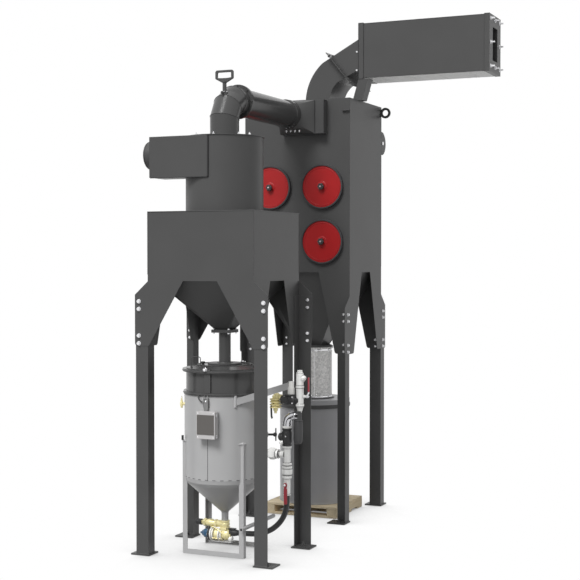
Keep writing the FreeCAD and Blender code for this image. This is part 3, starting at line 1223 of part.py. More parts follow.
wheel = turned("wheel", [
    ("0", "dims.pot_radius + 5"), ("dims.stem_radius", "dims.pot_radius + 5"),
    ("dims.stem_radius", "dims.wheel_reach - dims.wheel_thick"),
    ("dims.stem_radius * 1.8", "dims.wheel_reach - dims.wheel_thick"),
    ("dims.stem_radius * 1.8", "dims.wheel_reach"), ("dims.wheel_radius", "dims.wheel_reach"),
    ("dims.wheel_radius", "dims.wheel_reach + dims.wheel_thick"),
    ("0", "dims.wheel_reach + dims.wheel_thick")], "0", "0", "dims.wheel_height", WHEEL_TURN)
publish(wheel, "handwheel")


# Everything is checked before any file is written.

doc.recompute()
os.makedirs("parts", exist_ok=True)
faults = [o.Label for o in doc.Objects
          if "Invalid" in o.State or "Error" in o.State]
faults += [p.Label for p in nodes if p.Shape.isNull() or not p.Shape.isValid()]
if faults:
    raise SystemExit("failed: " + ", ".join(faults))
for part in nodes:
    part.Shape.exportStep(os.path.join("parts", part.Label + ".step"))
print(len(nodes), "sub-parts")
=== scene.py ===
import random
from math import cos, pi, radians, sin

import bmesh
import bpy
from mathutils import Matrix, Vector


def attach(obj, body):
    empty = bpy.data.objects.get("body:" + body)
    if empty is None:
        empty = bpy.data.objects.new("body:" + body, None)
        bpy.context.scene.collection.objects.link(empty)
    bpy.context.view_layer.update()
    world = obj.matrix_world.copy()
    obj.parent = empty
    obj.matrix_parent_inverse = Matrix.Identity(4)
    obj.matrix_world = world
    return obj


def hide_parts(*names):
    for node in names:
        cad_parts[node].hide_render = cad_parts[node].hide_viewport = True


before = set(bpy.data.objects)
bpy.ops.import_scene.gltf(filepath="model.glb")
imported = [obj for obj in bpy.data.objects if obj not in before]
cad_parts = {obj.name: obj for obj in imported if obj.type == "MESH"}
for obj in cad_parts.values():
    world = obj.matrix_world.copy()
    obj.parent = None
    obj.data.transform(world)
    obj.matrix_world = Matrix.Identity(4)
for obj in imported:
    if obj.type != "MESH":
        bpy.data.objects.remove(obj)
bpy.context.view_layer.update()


# Camera and light: the plant stands on a white studio floor under a broad soft sun from the
# front and above and a weak lamp on the right. The bright surround dims to both sides. The
# floor glows white to the camera, and its shadow is painted: occlusion greys the glow only
# close to what stands on it.

camera = bpy.data.objects.new("camera", bpy.data.cameras.new("camera"))
camera.location = (4.31105, -8.5446, 2.1653)
camera.rotation_euler = (radians(88.665), 0, radians(23.871))
camera.data.lens = 79.89
camera.data.sensor_width = 36.0
bpy.context.scene.collection.objects.link(camera)
bpy.context.scene.camera = camera
bpy.context.scene.view_settings.view_transform = "Standard"


def linear(colour):
    """A six digit sRGB hex colour as linear red, green, blue and alpha."""
    parts = [int(colour[i:i + 2], 16) / 255 for i in (0, 2, 4)]
    return tuple(c / 12.92 if c <= 0.04045 else ((c + 0.055) / 1.055) ** 2.4
                 for c in parts) + (1.0,)


def add_node(tree, kind, settings=None, links=None):
    """Add a node, set its properties or sockets, and link sockets to other nodes' outputs."""
    node = tree.nodes.new(kind)
    for key, value in (settings or {}).items():
        if isinstance(key, str) and hasattr(node, key):
            setattr(node, key, value)
        else:
            node.inputs[key].default_value = value
    for key, output in (links or {}).items():
        tree.links.new(output, node.inputs[key])
    return node


def aim(light, place, target):
    """Put a light in the scene, aimed from a place at a target."""
    item = bpy.data.objects.new(light.name, light)
    item.location = place
    item.rotation_euler = (Vector(target) - Vector(place)).to_track_quat("-Z", "Y").to_euler()
    bpy.context.scene.collection.objects.link(item)


key = bpy.data.lights.new("key_light", "SUN")
key.energy = 2.6
key.angle = radians(24)
aim(key, (-0.8, -5.2, 6.2), (0, 0, 0))
side = bpy.data.lights.new("side_lamp", "AREA")
side.shape = "SQUARE"
side.size = 5.0
side.energy = 6
aim(side, (9.0, -1.5, 4.5), (0.2, 0.9, 2.0))


def straight_rays(tree):
    """1 for camera, transmission and glossy rays, which see the white background."""
    ray = add_node(tree, "ShaderNodeLightPath").outputs
    clear = add_node(tree, "ShaderNodeMath", {"operation": "MAXIMUM"},
                     {0: ray["Is Camera Ray"], 1: ray["Is Transmission Ray"]})
    return add_node(tree, "ShaderNodeMath", {"operation": "MAXIMUM"},
                    {0: clear.outputs[0], 1: ray["Is Glossy Ray"]}).outputs[0]


world = bpy.data.worlds.new("studio")
world.use_nodes = True
bpy.context.scene.world = world
sky = world.node_tree
sky.nodes.clear()
way = add_node(sky, "ShaderNodeTexCoord")
axes = add_node(sky, "ShaderNodeSeparateXYZ", None, {0: way.outputs["Generated"]})
aside = add_node(sky, "ShaderNodeMath", {"operation": "ABSOLUTE"}, {0: axes.outputs["X"]})
softer = add_node(sky, "ShaderNodeMapRange", {"To Min": 0.86, "To Max": 0.4},
                  {"Value": aside.outputs[0]})
level = add_node(sky, "ShaderNodeMapRange", {"To Max": 1.0},
                 {"Value": straight_rays(sky), "To Min": softer.outputs[0]})
glow = add_node(sky, "ShaderNodeBackground", {"Color": (1, 1, 1, 1)},
                {"Strength": level.outputs[0]})
add_node(sky, "ShaderNodeOutputWorld", None, {"Surface": glow.outputs[0]})

floor_white = bpy.data.materials.new("studio_floor_white")
floor_white.use_nodes = True
tree = floor_white.node_tree
tree.nodes.clear()
# Painted shadow: occlusion within 1.3 m dims the floor's glow, so it greys close to what stands
# on it.
near = add_node(tree, "ShaderNodeAmbientOcclusion", {"samples": 16, "Distance": 1.3})
white = add_node(tree, "ShaderNodeMapRange",
                 {"From Min": 0.1, "From Max": 0.8, "To Min": 0.22, "To Max": 1.0},
                 {"Value": near.outputs["AO"]})
dim = add_node(tree, "ShaderNodeBsdfDiffuse", {"Color": linear("868686")})
painted_shadow_glow = add_node(tree, "ShaderNodeEmission", {"Color": (1, 1, 1, 1)},
                {"Strength": white.outputs[0]})
pick = add_node(tree, "ShaderNodeMixShader", None,
                {0: straight_rays(tree), 1: dim.outputs[0], 2: painted_shadow_glow.outputs[0]})
add_node(tree, "ShaderNodeOutputMaterial", None, {"Surface": pick.outputs[0]})

bm = bmesh.new()
bmesh.ops.create_circle(bm, cap_ends=True, radius=45.0, segments=64)
floor_mesh = bpy.data.meshes.new("floor")
bm.to_mesh(floor_mesh)
bm.clear()
floor = bpy.data.objects.new("floor", floor_mesh)
floor.location = (0, 0, -0.0015)
floor_mesh.materials.append(floor_white)
bpy.context.scene.collection.objects.link(floor)


# Legs and casings: folded and welded mild steel with a charcoal polyester powder coat. The
# coat is satin and a little orange-peeled, so it takes a soft broad shine and no sharp one.

MM = 0.001


def finish(name, colour, roughness, metallic=0.0, pattern=None, tones=None, grain=None,
           spread=None, relief=None, crease_shade=None, specular=0.5):
    """A material named for its finish, for the pieces of one slot.

    The pattern colours it between two tones. The grain, or else the pattern, spreads its
    roughness between two values and raises it by a strength and a depth. Either is a noise,
    by its size and its detail, or a function that makes nodes. Crease shade is the reach and
    the colour of painted shade, which darkens the tint in grooves and creases where occlusion
    falls. Lengths are in millimetres."""
    material = bpy.data.materials.new(name)
    material.use_nodes = True
    tree = material.node_tree
    shader = tree.nodes["Principled BSDF"]
    for socket, value in (("Base Color", linear(colour)), ("Roughness", roughness),
                          ("Metallic", metallic), ("Specular IOR Level", specular)):
        shader.inputs[socket].default_value = value
    place = add_node(tree, "ShaderNodeTexCoord").outputs["Object"]

    def factor(look):
        if callable(look):
            return look(tree, place)
        size, detail = look
        return add_node(tree, "ShaderNodeTexNoise", {"Scale": 1 / (size * MM), "Detail": detail},
                        {"Vector": place}).outputs["Fac"]

    wide = factor(pattern) if pattern else None
    fine = factor(grain) if grain else wide
    if tones:
        dark, light = (linear(tone) for tone in tones)
        tint = add_node(tree, "ShaderNodeMix", {"data_type": "RGBA", 6: dark, 7: light},
                        {0: wide})
        if crease_shade:
            # Painted shade: occlusion darkens the tint towards the crease colour in grooves and
            # creases.
            near = add_node(tree, "ShaderNodeAmbientOcclusion",
                            {"samples": 8, "only_local": True, "Distance": crease_shade[0] * MM})
            share = add_node(tree, "ShaderNodeMapRange", {"From Min": 0.35, "From Max": 0.85},
                             {"Value": near.outputs["AO"]})
            tint = add_node(tree, "ShaderNodeMix", {"data_type": "RGBA", 6: linear(crease_shade[1])},
                            {0: share.outputs[0], 7: tint.outputs[2]})
        tree.links.new(tint.outputs[2], shader.inputs["Base Color"])
    if spread:
        rough = add_node(tree, "ShaderNodeMapRange", {"To Min": spread[0], "To Max": spread[1]},
                         {"Value": fine})
        tree.links.new(rough.outputs[0], shader.inputs["Roughness"])
    if relief:
        bump = add_node(tree, "ShaderNodeBump",
                        {"Strength": relief[0], "Distance": relief[1] * MM}, {"Height": fine})
        tree.links.new(bump.outputs[0], shader.inputs["Normal"])
    return material


# Orange peel is about 1.5 mm across on the real coat, drawn at 5 mm so that it shows. Ducts
# and the pot's lid have the glossier batch of the same coat. It reflects less than paint.
PEEL, COAT_SPECULAR = (5, 2), 0.3
charcoal = finish("charcoal_powder_coat", "4A4A4A", 0.5, 0, (420, 3),
                  ("454545", "4F4F4F"), PEEL, (0.34, 0.5), (0.12, 0.25), None, COAT_SPECULAR)
charcoal_gloss = finish("charcoal_gloss_coat", "4A4A4A", 0.28, 0, (420, 3),
                        ("454545", "4F4F4F"), PEEL, (0.18, 0.28), (0.12, 0.25), None,
                        COAT_SPECULAR)


def dress(nodes, material):
    """Give CAD nodes their finished material."""
    for node in nodes:
        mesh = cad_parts[node].data
        mesh.materials.clear()
        mesh.materials.append(material)


CORNERS = {"front_right": (1, -1), "front_left": (-1, -1), "rear_right": (1, 1),
           "rear_left": (-1, 1)}
for unit in ("cyclone", "collector"):
    dress([f"{unit}_leg_{corner}" for corner in CORNERS], charcoal)
    dress([f"{unit}_{face}_panel" for face in ("front", "rear", "left", "right")], charcoal)

# Every shape is added to one mesh in hand, in millimetres, and piece() makes it an object.
RIGHT, BACK, UP = Vector((1, 0, 0)), Vector((0, 1, 0)), Vector((0, 0, 1))
LEFT, FRONT, DOWN = -RIGHT, -BACK, -UP


def piece(name, material, sharp=35, bevel=0.0, body="plant", node=None):
    """Make the mesh in hand an object that rides on a body, and may replace a CAD node."""
    bmesh.ops.recalc_face_normals(bm, faces=bm.faces)
    bmesh.ops.scale(bm, vec=(MM, MM, MM), verts=bm.verts)
    mesh = bpy.data.meshes.new(name)
    bm.to_mesh(mesh)
    bm.clear()
    mesh.polygons.foreach_set("use_smooth", [True] * len(mesh.polygons))
    mesh.set_sharp_from_angle(angle=radians(sharp))
    mesh.materials.append(material)
    item = bpy.data.objects.new(name, mesh)
    bpy.context.scene.collection.objects.link(item)
    if bevel:
        edge = item.modifiers.new("edges", "BEVEL")
        edge.width = bevel * MM
        edge.segments = 2
        edge.limit_method = "ANGLE"
        edge.angle_limit = radians(sharp)
    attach(item, body)
    if node:
        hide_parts(node)


def stand(at, axis):
    """The matrix that stands a shape on a point, with its own Z along an axis."""
    turn = UP.rotation_difference(Vector(axis)).to_matrix().to_4x4()
    return Matrix.Translation(Vector(at)) @ turn


def hoop(radius, at, axis=UP, count=64):
    """The points of a circle about an axis."""
    where = stand(at, axis)
    return [where @ Vector((radius * cos(a), radius * sin(a), 0))
            for a in (2 * pi * k / count for k in range(count))]


def skin(rings):
    """Join rings of vertices with faces. A ring of one vertex is a point."""
    for low, high in zip(rings, rings[1:]):
        count = max(len(low), len(high))
        for k in range(count):
            n = (k + 1) % count
            corners = [low[k % len(low)], low[n % len(low)], high[n % len(high)],
                       high[k % len(high)]]
            unique = list(dict.fromkeys(corners))
            if len(unique) > 2:
                bm.faces.new(unique)


def lathe(profile, at=(0, 0, 0), axis=UP, steps=32):
    """Revolve radius and height corners about an axis through a point. Closed at radius 0."""
    where = stand(at, axis)
    skin([[bm.verts.new(where @ point) for point in
           (hoop(radius, (0, 0, along), UP, steps) if radius else [Vector((0, 0, along))])]
          for radius, along in profile])


def hex_bolt(at, axis, across=24.0, washer=32.0, shank=0.0):
    """A hexagon head on a washer: the head has a small chamfer and a shallow recess."""
    half = across / 2 / cos(radians(30))
    lathe([(0, -1), (washer / 2, -1), (washer / 2, 2), (washer / 2 - 1, 3), (0, 3)], at, axis, 24)
    lathe([(half, 3), (half, 3 + across * 0.42), (half * 0.86, 3 + across * 0.5),
           (half * 0.6, 3 + across * 0.5), (half * 0.55, 3 + across * 0.46),
           (0, 3 + across * 0.46)], at, axis, 6)
    if shank:
        lathe([(across / 4, 3), (across / 4, shank), (across / 4 - 1.5, shank + 1.5),
               (0, shank + 1.5)], at, axis, 12)


# Bright zinc plated hexagon bolts on washers hold each bracket to the flange of its leg,
# with a nut behind the flange.
zinc = finish("bright_zinc_plating", "EAEAEC", 0.26, 0.9, grain=(14, 3),
              spread=(0.18, 0.38))

BRACKET_FACE = 396.5
for across in (-502, 502):
    for up in (1864, 1808, 1613, 1557):
        for end in (-1, 1):
            hex_bolt((across, end * BRACKET_FACE, up), (0, end, 0))
            hex_bolt((across, end * (BRACKET_FACE - 9), up), (0, -end, 0), 19, 24)
piece("cyclone_bracket_bolts", zinc)

COLLECTOR_Y = 1715.0
COLLECTOR_HALF = Vector((476.0, 380.0))
for up in (1717, 1661, 1465, 1409):
    for end in (-1, 1):
        face, back = (COLLECTOR_Y + end * (COLLECTOR_HALF.y - deep) for deep in (0, 9))
        for side in (-1, 1):
            hex_bolt((side * 426, face, up), (0, end, 0), 20, 27)
            hex_bolt((side * 426, back, up), (0, -end, 0), 16, 21)
            hex_bolt((side * COLLECTOR_HALF.x, COLLECTOR_Y + end * 422.5, up),
                     (side, 0, 0), 20, 27)
piece("collector_bracket_bolts", zinc)

# Each foot plate has one anchor bolt with a nut, let into the floor through its hole.
FOOT_TOP = 10
for reach_x, reach_y, middle in ((494, 327.5, 0), (407, 446, COLLECTOR_Y)):
    for across, end in CORNERS.values():
        at = (across * reach_x, middle + end * reach_y, FOOT_TOP)
        lathe([(0, -0.5), (17, -0.5), (17, 3), (0, 3)], at, UP, 24)
        lathe([(13.8, 3), (13.8, 14), (12, 16), (8, 16), (8, 30), (6.5, 32), (0, 32)], at, UP, 6)
piece("anchor_bolts", charcoal)


def rod(points, radius, steps=8, closed=False):
    """Run a round bar or a weld bead along a line of points."""
    points = [Vector(p) for p in points]
    count = len(points)
    rings = []
    side = None
    for k, point in enumerate(points):
        ahead = points[(k + 1) % count] if closed or k < count - 1 else point
        behind = points[k - 1] if closed or k else point
        along = (ahead - behind).normalized()
        if side is None:
            side = along.orthogonal().normalized()
        side = (side - along * side.dot(along)).normalized()
        other = along.cross(side)
        rings.append([bm.verts.new(point + (side * cos(a) + other * sin(a)) * radius)
                      for a in (2 * pi * n / steps for n in range(steps))])
    if closed:
        shift = min(range(steps), key=lambda n: (rings[0][n].co - rings[-1][0].co).length)
        rings.append(rings[0][shift:] + rings[0][:shift])
    else:
        bm.faces.new(rings[0][::-1])
        bm.faces.new(rings[-1])
    skin(rings)


# Each foot plate is welded to its angle all round with a bead some 6 mm wide, painted over.
ANGLE = [(102, 0), (0, 0), (0, 90), (6, 90), (6, 6), (102, 6)]
for across, end in CORNERS.values():
    rod([(across * (428 + a), end * (393.5 - b), FOOT_TOP + 1) for a, b in ANGLE], 3.2, 6, True)
    rod([(across * (473 - a), COLLECTOR_Y + end * (380 + b), FOOT_TOP + 1)
         for a, b in ANGLE], 3.2, 6, True)
piece("foot_welds", charcoal)


# Cyclone: deck, hopper, drop pipe, barrel, roof and inlet box, rolled and welded from sheet
# in the same charcoal coat, and bolted together at the roof and at the hopper's outlet.

dress(("cyclone_deck", "cyclone_hopper", "drop_pipe", "cyclone_barrel", "cyclone_roof",
       "cyclone_inlet_box"), charcoal)

for side, end in CORNERS.values():
    rod([(side * 423, end * 391.5, 2058), (side * 51, end * 51, 1652)], 4.5, 8)
rod(hoop(289, (0, 0, 2517)), 3.5, 6, True)
rod(hoop(44.5, (0, 0, 1627), UP, 32), 3, 6, True)
rod([(-205, 203, 2519), (-205, 203, 3066)], 2.5, 6)
rod(hoop(101, (-476, -173, 2941), RIGHT, 48), 3.5, 6, True)
rod(hoop(99.5, (-531, -173, 2941), RIGHT, 48), 4.5, 8, True)
for up in (2771, 3067):
    rod([(-474, -288, up), (-8, -288, up)], 2.2, 6)
piece("cyclone_welds", charcoal)


def block(low, high):
    """Add a square cut block between two corners."""
    low, high = Vector(low), Vector(high)
    made = bmesh.ops.create_cube(bm, size=1.0)["verts"]
    bmesh.ops.scale(bm, vec=high - low, verts=made)
    bmesh.ops.translate(bm, vec=(low + high) / 2, verts=made)


# The inlet box has a folded front skin that stands proud of the barrel. Thin black beads down
# its edge and under it, at the barrel's side and the roof's rim, and at the hood and the
# silencer are painted shade: dark lines where those edges fall in shadow. The casing's
# folds are rounded, and catch the light.
block((-461, -298, 2769), (8, -287, 3066))
piece("inlet_skin", charcoal, 30, 1.5)
gasket_and_shade_line_black = finish("black_gasket_rubber_and_painted_shade_lines", "1E1E1F", 0.6, grain=(4, 2),
                relief=(0.2, 0.2))
# Painted shade: black lines at edges that lie in shadow.
rod([(12, -293, 2770), (12, -293, 3065)], 5, 8)
rod([(-461, -296, 2767), (10, -296, 2767)], 3, 8)
rod([(-290, 0, 2519), (-290, 0, 2765)], 2, 8)
rod(hoop(291, (0, 0, 3069.5)), 2.5, 8, True)
rod([(194, 1263, 3213), (194, 1263, 3479)], 3, 8)
rod([(275, 1263, 3212), (275, 1263, 3480)], 3.5, 8)
rod([(-90, 1262, 3209), (275, 1263, 3209)], 3.5, 8)
rod([(478, 1526.5, 3677), (478, 1526.5, 4136)], 3, 8)
piece("painted_shade_line_beads", gasket_and_shade_line_black)
rod([(-427, -397.5, 2515), (428, -397.5, 2515), (428.5, 397.5, 2515), (-428, 397.5, 2515)], 3.2,
    10, True)
for side, end in CORNERS.values():
    rod([(side * 427.5, end * 397, 2060), (side * 427.5, end * 397, 2513)], 2.4, 10)
piece("casing_folds", charcoal)


def spoke(degrees, radius=1.0, up=0.0):
    """A point on a level circle about the Z axis."""
    return Vector((radius * cos(radians(degrees)), radius * sin(radians(degrees)), up))


# Four bolts clamp the roof to the barrel's rim, four the foot of the elbow, and four with
# nuts the hopper's outlet.
for k in range(4):
    hex_bolt(spoke(78 + 90 * k, 130, 3086), UP, 16, 22, 20)
    hex_bolt(spoke(68 + 90 * k, 274, 3076), UP, 14, 19, 15)
for side, end in CORNERS.values():
    hex_bolt((side * 62, end * 62, 1650), UP, 13, 18)
    hex_bolt((side * 62, end * 62, 1628), DOWN, 13, 18)
piece("cyclone_flange_bolts", zinc)

lathe([(109, 3074), (146, 3074), (147, 3076), (147, 3079), (146, 3080), (109, 3080)], steps=64)
lathe([(109, 3080), (114, 3080), (109, 3086)], steps=64)
piece("elbow_foot_flange", charcoal, 25)


# Outlet elbow and transfer duct: a lobster back bend of four mitred rings, each joint a
# painted weld, then a flange pair and a round duct that ends in a swaged collar.

dress(("outlet_elbow", "transfer_duct"), charcoal_gloss)
dress(["collector_inlet"], charcoal)

DUCT_RADIUS = 108.0
DUCT_HEIGHT = 3360
MITRES = [((0, 0, 3213.6), 0), ((0, 53.6, 3306.4), 30), ((0, 146.4, DUCT_HEIGHT), 60)]
for centre, lean in MITRES:
    along, after = (Vector((0, sin(a), cos(a))) for a in (radians(lean), radians(lean + 30)))
    cut = along + after
    out = RIGHT.cross(along)
    seam = []
    for turn in (2 * pi * k / 64 for k in range(64)):
        rim = (RIGHT * cos(turn) + out * sin(turn)) * DUCT_RADIUS
        seam.append(Vector(centre) + rim - along * (rim.dot(cut) / along.dot(cut)))
    rod(seam, 2.6, 6, True)
rod([(-78, 226, 3285), (-78, 1087, 3285)], 2.0, 6)
piece("elbow_seams", charcoal)

for k in range(8):
    turn = radians(45 * k)
    at = (120 * cos(turn), 214, DUCT_HEIGHT + 120 * sin(turn))
    hex_bolt(at, FRONT, 12, 15)
    hex_bolt((at[0], 238, at[2]), BACK, 12, 15)
piece("duct_flange_bolts", charcoal)
for across in (-30, 8, 46, 84):
    hex_bolt((across, 1196, 3231), (0, -0.34, -0.94), 12, 17, 14)
piece("duct_bolts", zinc)

# Black rubber gaskets show as dark lines in the flange pair, and between the duct's collar
# and the inlet hood.
lathe([(108, 1144), (119.5, 1144), (120.5, 1147), (119.5, 1150), (108, 1150)],
      (0, 0, DUCT_HEIGHT), BACK, 72)
lathe([(108, 224.5), (128.5, 224.5), (128.5, 227.5), (108, 227.5)], (0, 0, DUCT_HEIGHT), BACK, 72)
piece("duct_gaskets", gasket_and_shade_line_black)


# Vortex adjuster: a turned steel rod through the elbow's back. A flat yoke is welded on top
# as its handle, and a coated hexagon nut with two bright set screws clamps the rod.

def plate(corners, thick, at=(0, 0, 0), across=RIGHT, up=UP, inner=None):
    """Cut a flat plate to corners across and up from a point, with a window if asked."""
    across, up = Vector(across).normalized(), Vector(up).normalized()
    past = across.cross(up) * thick
    loops = []
    for outline in (corners, inner) if inner else (corners,):
        base = [Vector(at) + across * a + up * b for a, b in outline]
        loops.append(([bm.verts.new(c) for c in base], [bm.verts.new(c + past) for c in base]))
    for near, far in loops:
        skin([near, far])
    for level, rims in enumerate(zip(*loops)):
        if inner:
            skin(rims)
        else:
            bm.faces.new(rims[0][::-1] if level else rims[0])


YOKE = [(-15, 3475), (-74, 3507), (-74, 3559), (-64, 3570), (64, 3570), (74, 3559), (74, 3507),
        (15, 3475)]
WINDOW = [(-22, 3511), (-56, 3514), (-56, 3548), (-51, 3553), (51, 3553), (56, 3548), (56, 3514),
          (22, 3511)]
plate(YOKE, 16, (0, 8, 0), inner=WINDOW)
piece("vortex_yoke", charcoal, 25, 3.0, body="vortex_adjuster", node="vortex_handle")
lathe([(0, 3120), (12, 3120), (15, 3124), (15, 3474), (19, 3478), (20, 3486), (13, 3492),
       (0, 3493)], steps=32)
piece("vortex_rod", charcoal, 25, body="vortex_adjuster")

lathe([(16.5, 3404), (25, 3404), (26, 3406), (26, 3411), (24, 3413), (16.5, 3413), (16.5, 3404)],
      steps=6)
lathe([(0, -24), (5, -24), (5, -38), (9, -39), (10, -46), (8, -50), (0, -51)], (0, 0, 3401), BACK,
      16)
piece("rod_clamp", charcoal, 30)
hex_bolt((9, -25, 3408), FRONT, 7, 8)
hex_bolt((22, -12, 3408), (0.9, -0.4, 0), 7, 8)
piece("rod_clamp_screws", zinc, 30)


# Dust collector: casing, hopper and roof in the same folded and coated sheet, with a lip
# over the right corner, welded corners and a compressed air tank behind on two saddles.

dress(("collector_hopper", "collector_roof", "air_tank", "lifting_eyes"), charcoal)

TANK = Vector((0, 2220, 3195))
for side, end in CORNERS.values():
    edge = COLLECTOR_Y + end * 379.5
    rod([(side * 470.5, COLLECTOR_Y + end * 374.5, 2098),
         (side * 96, COLLECTOR_Y + end * 96, 1430)], 4.5, 8)
    rod([(side * 475, edge, 2110), (side * 475, edge, 3496)], 2.0, 6)
    rod([(side * 296, 2096, TANK.z + end * 70), (side * 296, 2148, TANK.z + end * 70)], 3, 6)
for side in (-1, 1):
    rod(hoop(102.5, TANK + RIGHT * side * 392, RIGHT), 3.5, 6, True)
piece("collector_welds", charcoal)

COLLECTOR_FACE = COLLECTOR_Y - COLLECTOR_HALF.y
plate([(412, 3390), (474, 3390), (474, 3398), (412, 3398)], 20, (0, COLLECTOR_FACE, 0))
plate([(418, 3376), (468, 3376), (468, 3390), (418, 3390)], 4, (0, COLLECTOR_FACE, 0))
piece("corner_lip", charcoal, 25, 1.0)

# The tank feeds five pulse valves, whose short pipes run into the casing's back wall.
for k in range(5):
    across = -320 + 160 * k
    rod([(across, 2197, 3290), (across, 2197, 3330), (across, 2188, 3346), (across, 2168, 3354),
         (across, 2094, 3354)], 17, 16)
    lathe([(24, 0), (24, 10), (17, 12)], (across, 2106, 3354), FRONT, 24)
    lathe([(0, 3300), (30, 3300), (31, 3303), (31, 3313), (28, 3316), (28, 3326), (17, 3330)],
          (across, 2197, 0), UP, 24)
piece("pulse_pipes", charcoal, 30)
for side in (-1, 1):
    lathe([(0, 435), (17, 435), (17, 447), (14, 450), (0, 450)], TANK, (side, 0, 0), 6)
lathe([(0, 3096), (12, 3096), (12, 3078), (9, 3074), (0, 3074)], (0, TANK.y, 0), UP, 6)
piece("tank_plugs", zinc, 30)


# Filter covers: pressed steel discs with a red powder coat and a dark rubber rim. Each is
# held by a moulded black star knob on the end of a bright stud.

red_coat = finish("red_powder_coat", "A41D1F", 0.42, 0, (160, 3),
                  ("9C1A1C", "AC2022"), PEEL, relief=(0.12, 0.25), specular=COAT_SPECULAR)
dress(["filter_covers"], red_coat)

COVERS = [(across, COLLECTOR_FACE, up) for across in (-235, 235) for up in (2318, 2773)]
rim_rubber = finish("moulded_rim_rubber", "2E2E30", 0.6, grain=(4, 2),
                    relief=(0.2, 0.2))
for at in COVERS:
    lathe([(171.5, -3), (171.5, 27), (173, 29), (181, 29), (185, 25), (185, -3)], at, FRONT, 96)
piece("cover_rims", rim_rubber)

for at in COVERS:
    lathe([(160, 19.5), (160, 21.2), (158.5, 22), (154, 22), (152.5, 21.2), (152.5, 19.5)], at,
          FRONT, 96)
    lathe([(44, 19.5), (44, 21), (41, 23), (27, 23.5), (24, 21)], at, FRONT, 48)
piece("cover_beads", red_coat)

black_moulding = finish("moulded_black_nylon", "2B2B2C", 0.48, grain=(3, 3),
                        spread=(0.4, 0.6), relief=(0.2, 0.2))


def star(at, axis, radius, low, high, lobes=6, dip=0.16):
    """A moulded star knob: a lobed grip with rounded upper and lower edges."""
    where = stand(at, axis)
    steps = lobes * 10
    edge = (high - low) * 0.2
    rings = []
    for size, along in ((0, low), (0.8, low), (0.96, low + edge * 0.5), (1, low + edge),
                        (1, high - edge), (0.94, high - edge * 0.3), (0.82, high),
                        (0.5, high), (0.42, high - edge * 0.4), (0, high - edge * 0.4)):
        ring = []
        for a in (2 * pi * k / steps for k in range(steps if size else 1)):
            dent = dip * (0.5 - 0.5 * cos(lobes * a)) if size > 0.6 else 0
            reach = radius * size * (1 - dent)
            ring.append(bm.verts.new(where @ Vector((reach * cos(a), reach * sin(a), along))))
        rings.append(ring)
    skin(rings)


for at in COVERS:
    lathe([(0, 20), (19, 20), (18, 23), (14, 26), (14, 36), (0, 36)], at, FRONT, 32)
    star(at, FRONT, 28, 35, 53)
piece("star_knobs", black_moulding, 40, node="cover_knobs")
for at in COVERS:
    lathe([(9.5, 50), (9.5, 54), (7.5, 57), (7, 61), (5, 63.5), (0, 64)], at, FRONT, 16)
piece("knob_studs", zinc, 40)


# Exhaust and silencer: a square elbow of welded sheet with a flange plate across its bend,
# and a square silencer on a leaning strut. Its underside is pale perforated sheet.

dress(("silencer", "silencer_strut"), charcoal)
dress(["exhaust_elbow"], charcoal_gloss)

SILENCER_Y = 1699
EXHAUST_LEAN = radians(50.5)
ALONG_BEND = Vector((sin(EXHAUST_LEAN), 0, cos(EXHAUST_LEAN)))
ACROSS_BEND = Vector((cos(EXHAUST_LEAN), 0, -sin(EXHAUST_LEAN)))
FLANGE_MIDDLE = Vector((321, SILENCER_Y, 3760))
places = [(150 * k, end * 202) for k in (-1, 0, 1) for end in (-1, 1)]
places += [(166 * k, step * 100) for k in (-1, 1) for step in (-1, 0, 1)]
for slope, across in places:
    base = FLANGE_MIDDLE + ACROSS_BEND * slope + Vector((0, across, 0))
    for side in (-1, 1):
        hex_bolt(base + ALONG_BEND * (side * 3), ALONG_BEND * side, 13, 18)
piece("exhaust_flange_bolts", charcoal)

for up in (3899, 3746):
    for end in (-1, 1):
        hex_bolt((462, SILENCER_Y + end * 168, up), (0, end, 0), 13, 17)
for across, up in ((-137, 4101), (0, 4101), (137, 4101), (-137, 3911), (137, 3911), (-137, 3721),
                   (0, 3721), (137, 3721)):
    lathe([(0, 1592), (16, 1592), (16, 1596), (0, 1596)], (0, SILENCER_Y + across, up), RIGHT, 20)
    lathe([(12, 1596), (12, 1605), (10, 1607), (7.5, 1607), (7.5, 1626), (6, 1628), (0, 1628)],
          (0, SILENCER_Y + across, up), RIGHT, 6)
piece("silencer_studs", zinc, 30)

for across in (519.5, 1551.5):
    rod([(across, 1525.5, 3676), (across, 1525.5, 4136), (across, 1872, 4136),
         (across, 1872, 3676)], 1.8, 6)
for end in (-1, 1):
    for up in (3682, 4130):
        rod([(520, SILENCER_Y + end * 168, up), (1551, SILENCER_Y + end * 168, up)], 2.0, 6)
piece("silencer_seams", charcoal, 30)


# Perforated steel: 5 mm holes at 8 mm centres in a bright sheet, over pale sound wool.
def holes(tree, place):
    """1 between the holes and 0 in them."""
    grid = add_node(tree, "ShaderNodeVectorMath", {"operation": "SNAP", 1: (8 * MM,) * 3},
                    {0: place})
    middle = add_node(tree, "ShaderNodeVectorMath", {"operation": "ADD", 1: (4 * MM,) * 3},
                      {0: grid.outputs[0]})
    off = add_node(tree, "ShaderNodeVectorMath", {"operation": "SUBTRACT"},
                   {0: place, 1: middle.outputs[0]})
    flat = add_node(tree, "ShaderNodeVectorMath", {"operation": "MULTIPLY", 1: (1, 1, 0)},
                    {0: off.outputs[0]})
    reach = add_node(tree, "ShaderNodeVectorMath", {"operation": "LENGTH"}, {0: flat.outputs[0]})
    return add_node(tree, "ShaderNodeMapRange", {"From Min": 2.3 * MM, "From Max": 2.7 * MM},
                    {"Value": reach.outputs["Value"]}).outputs[0]


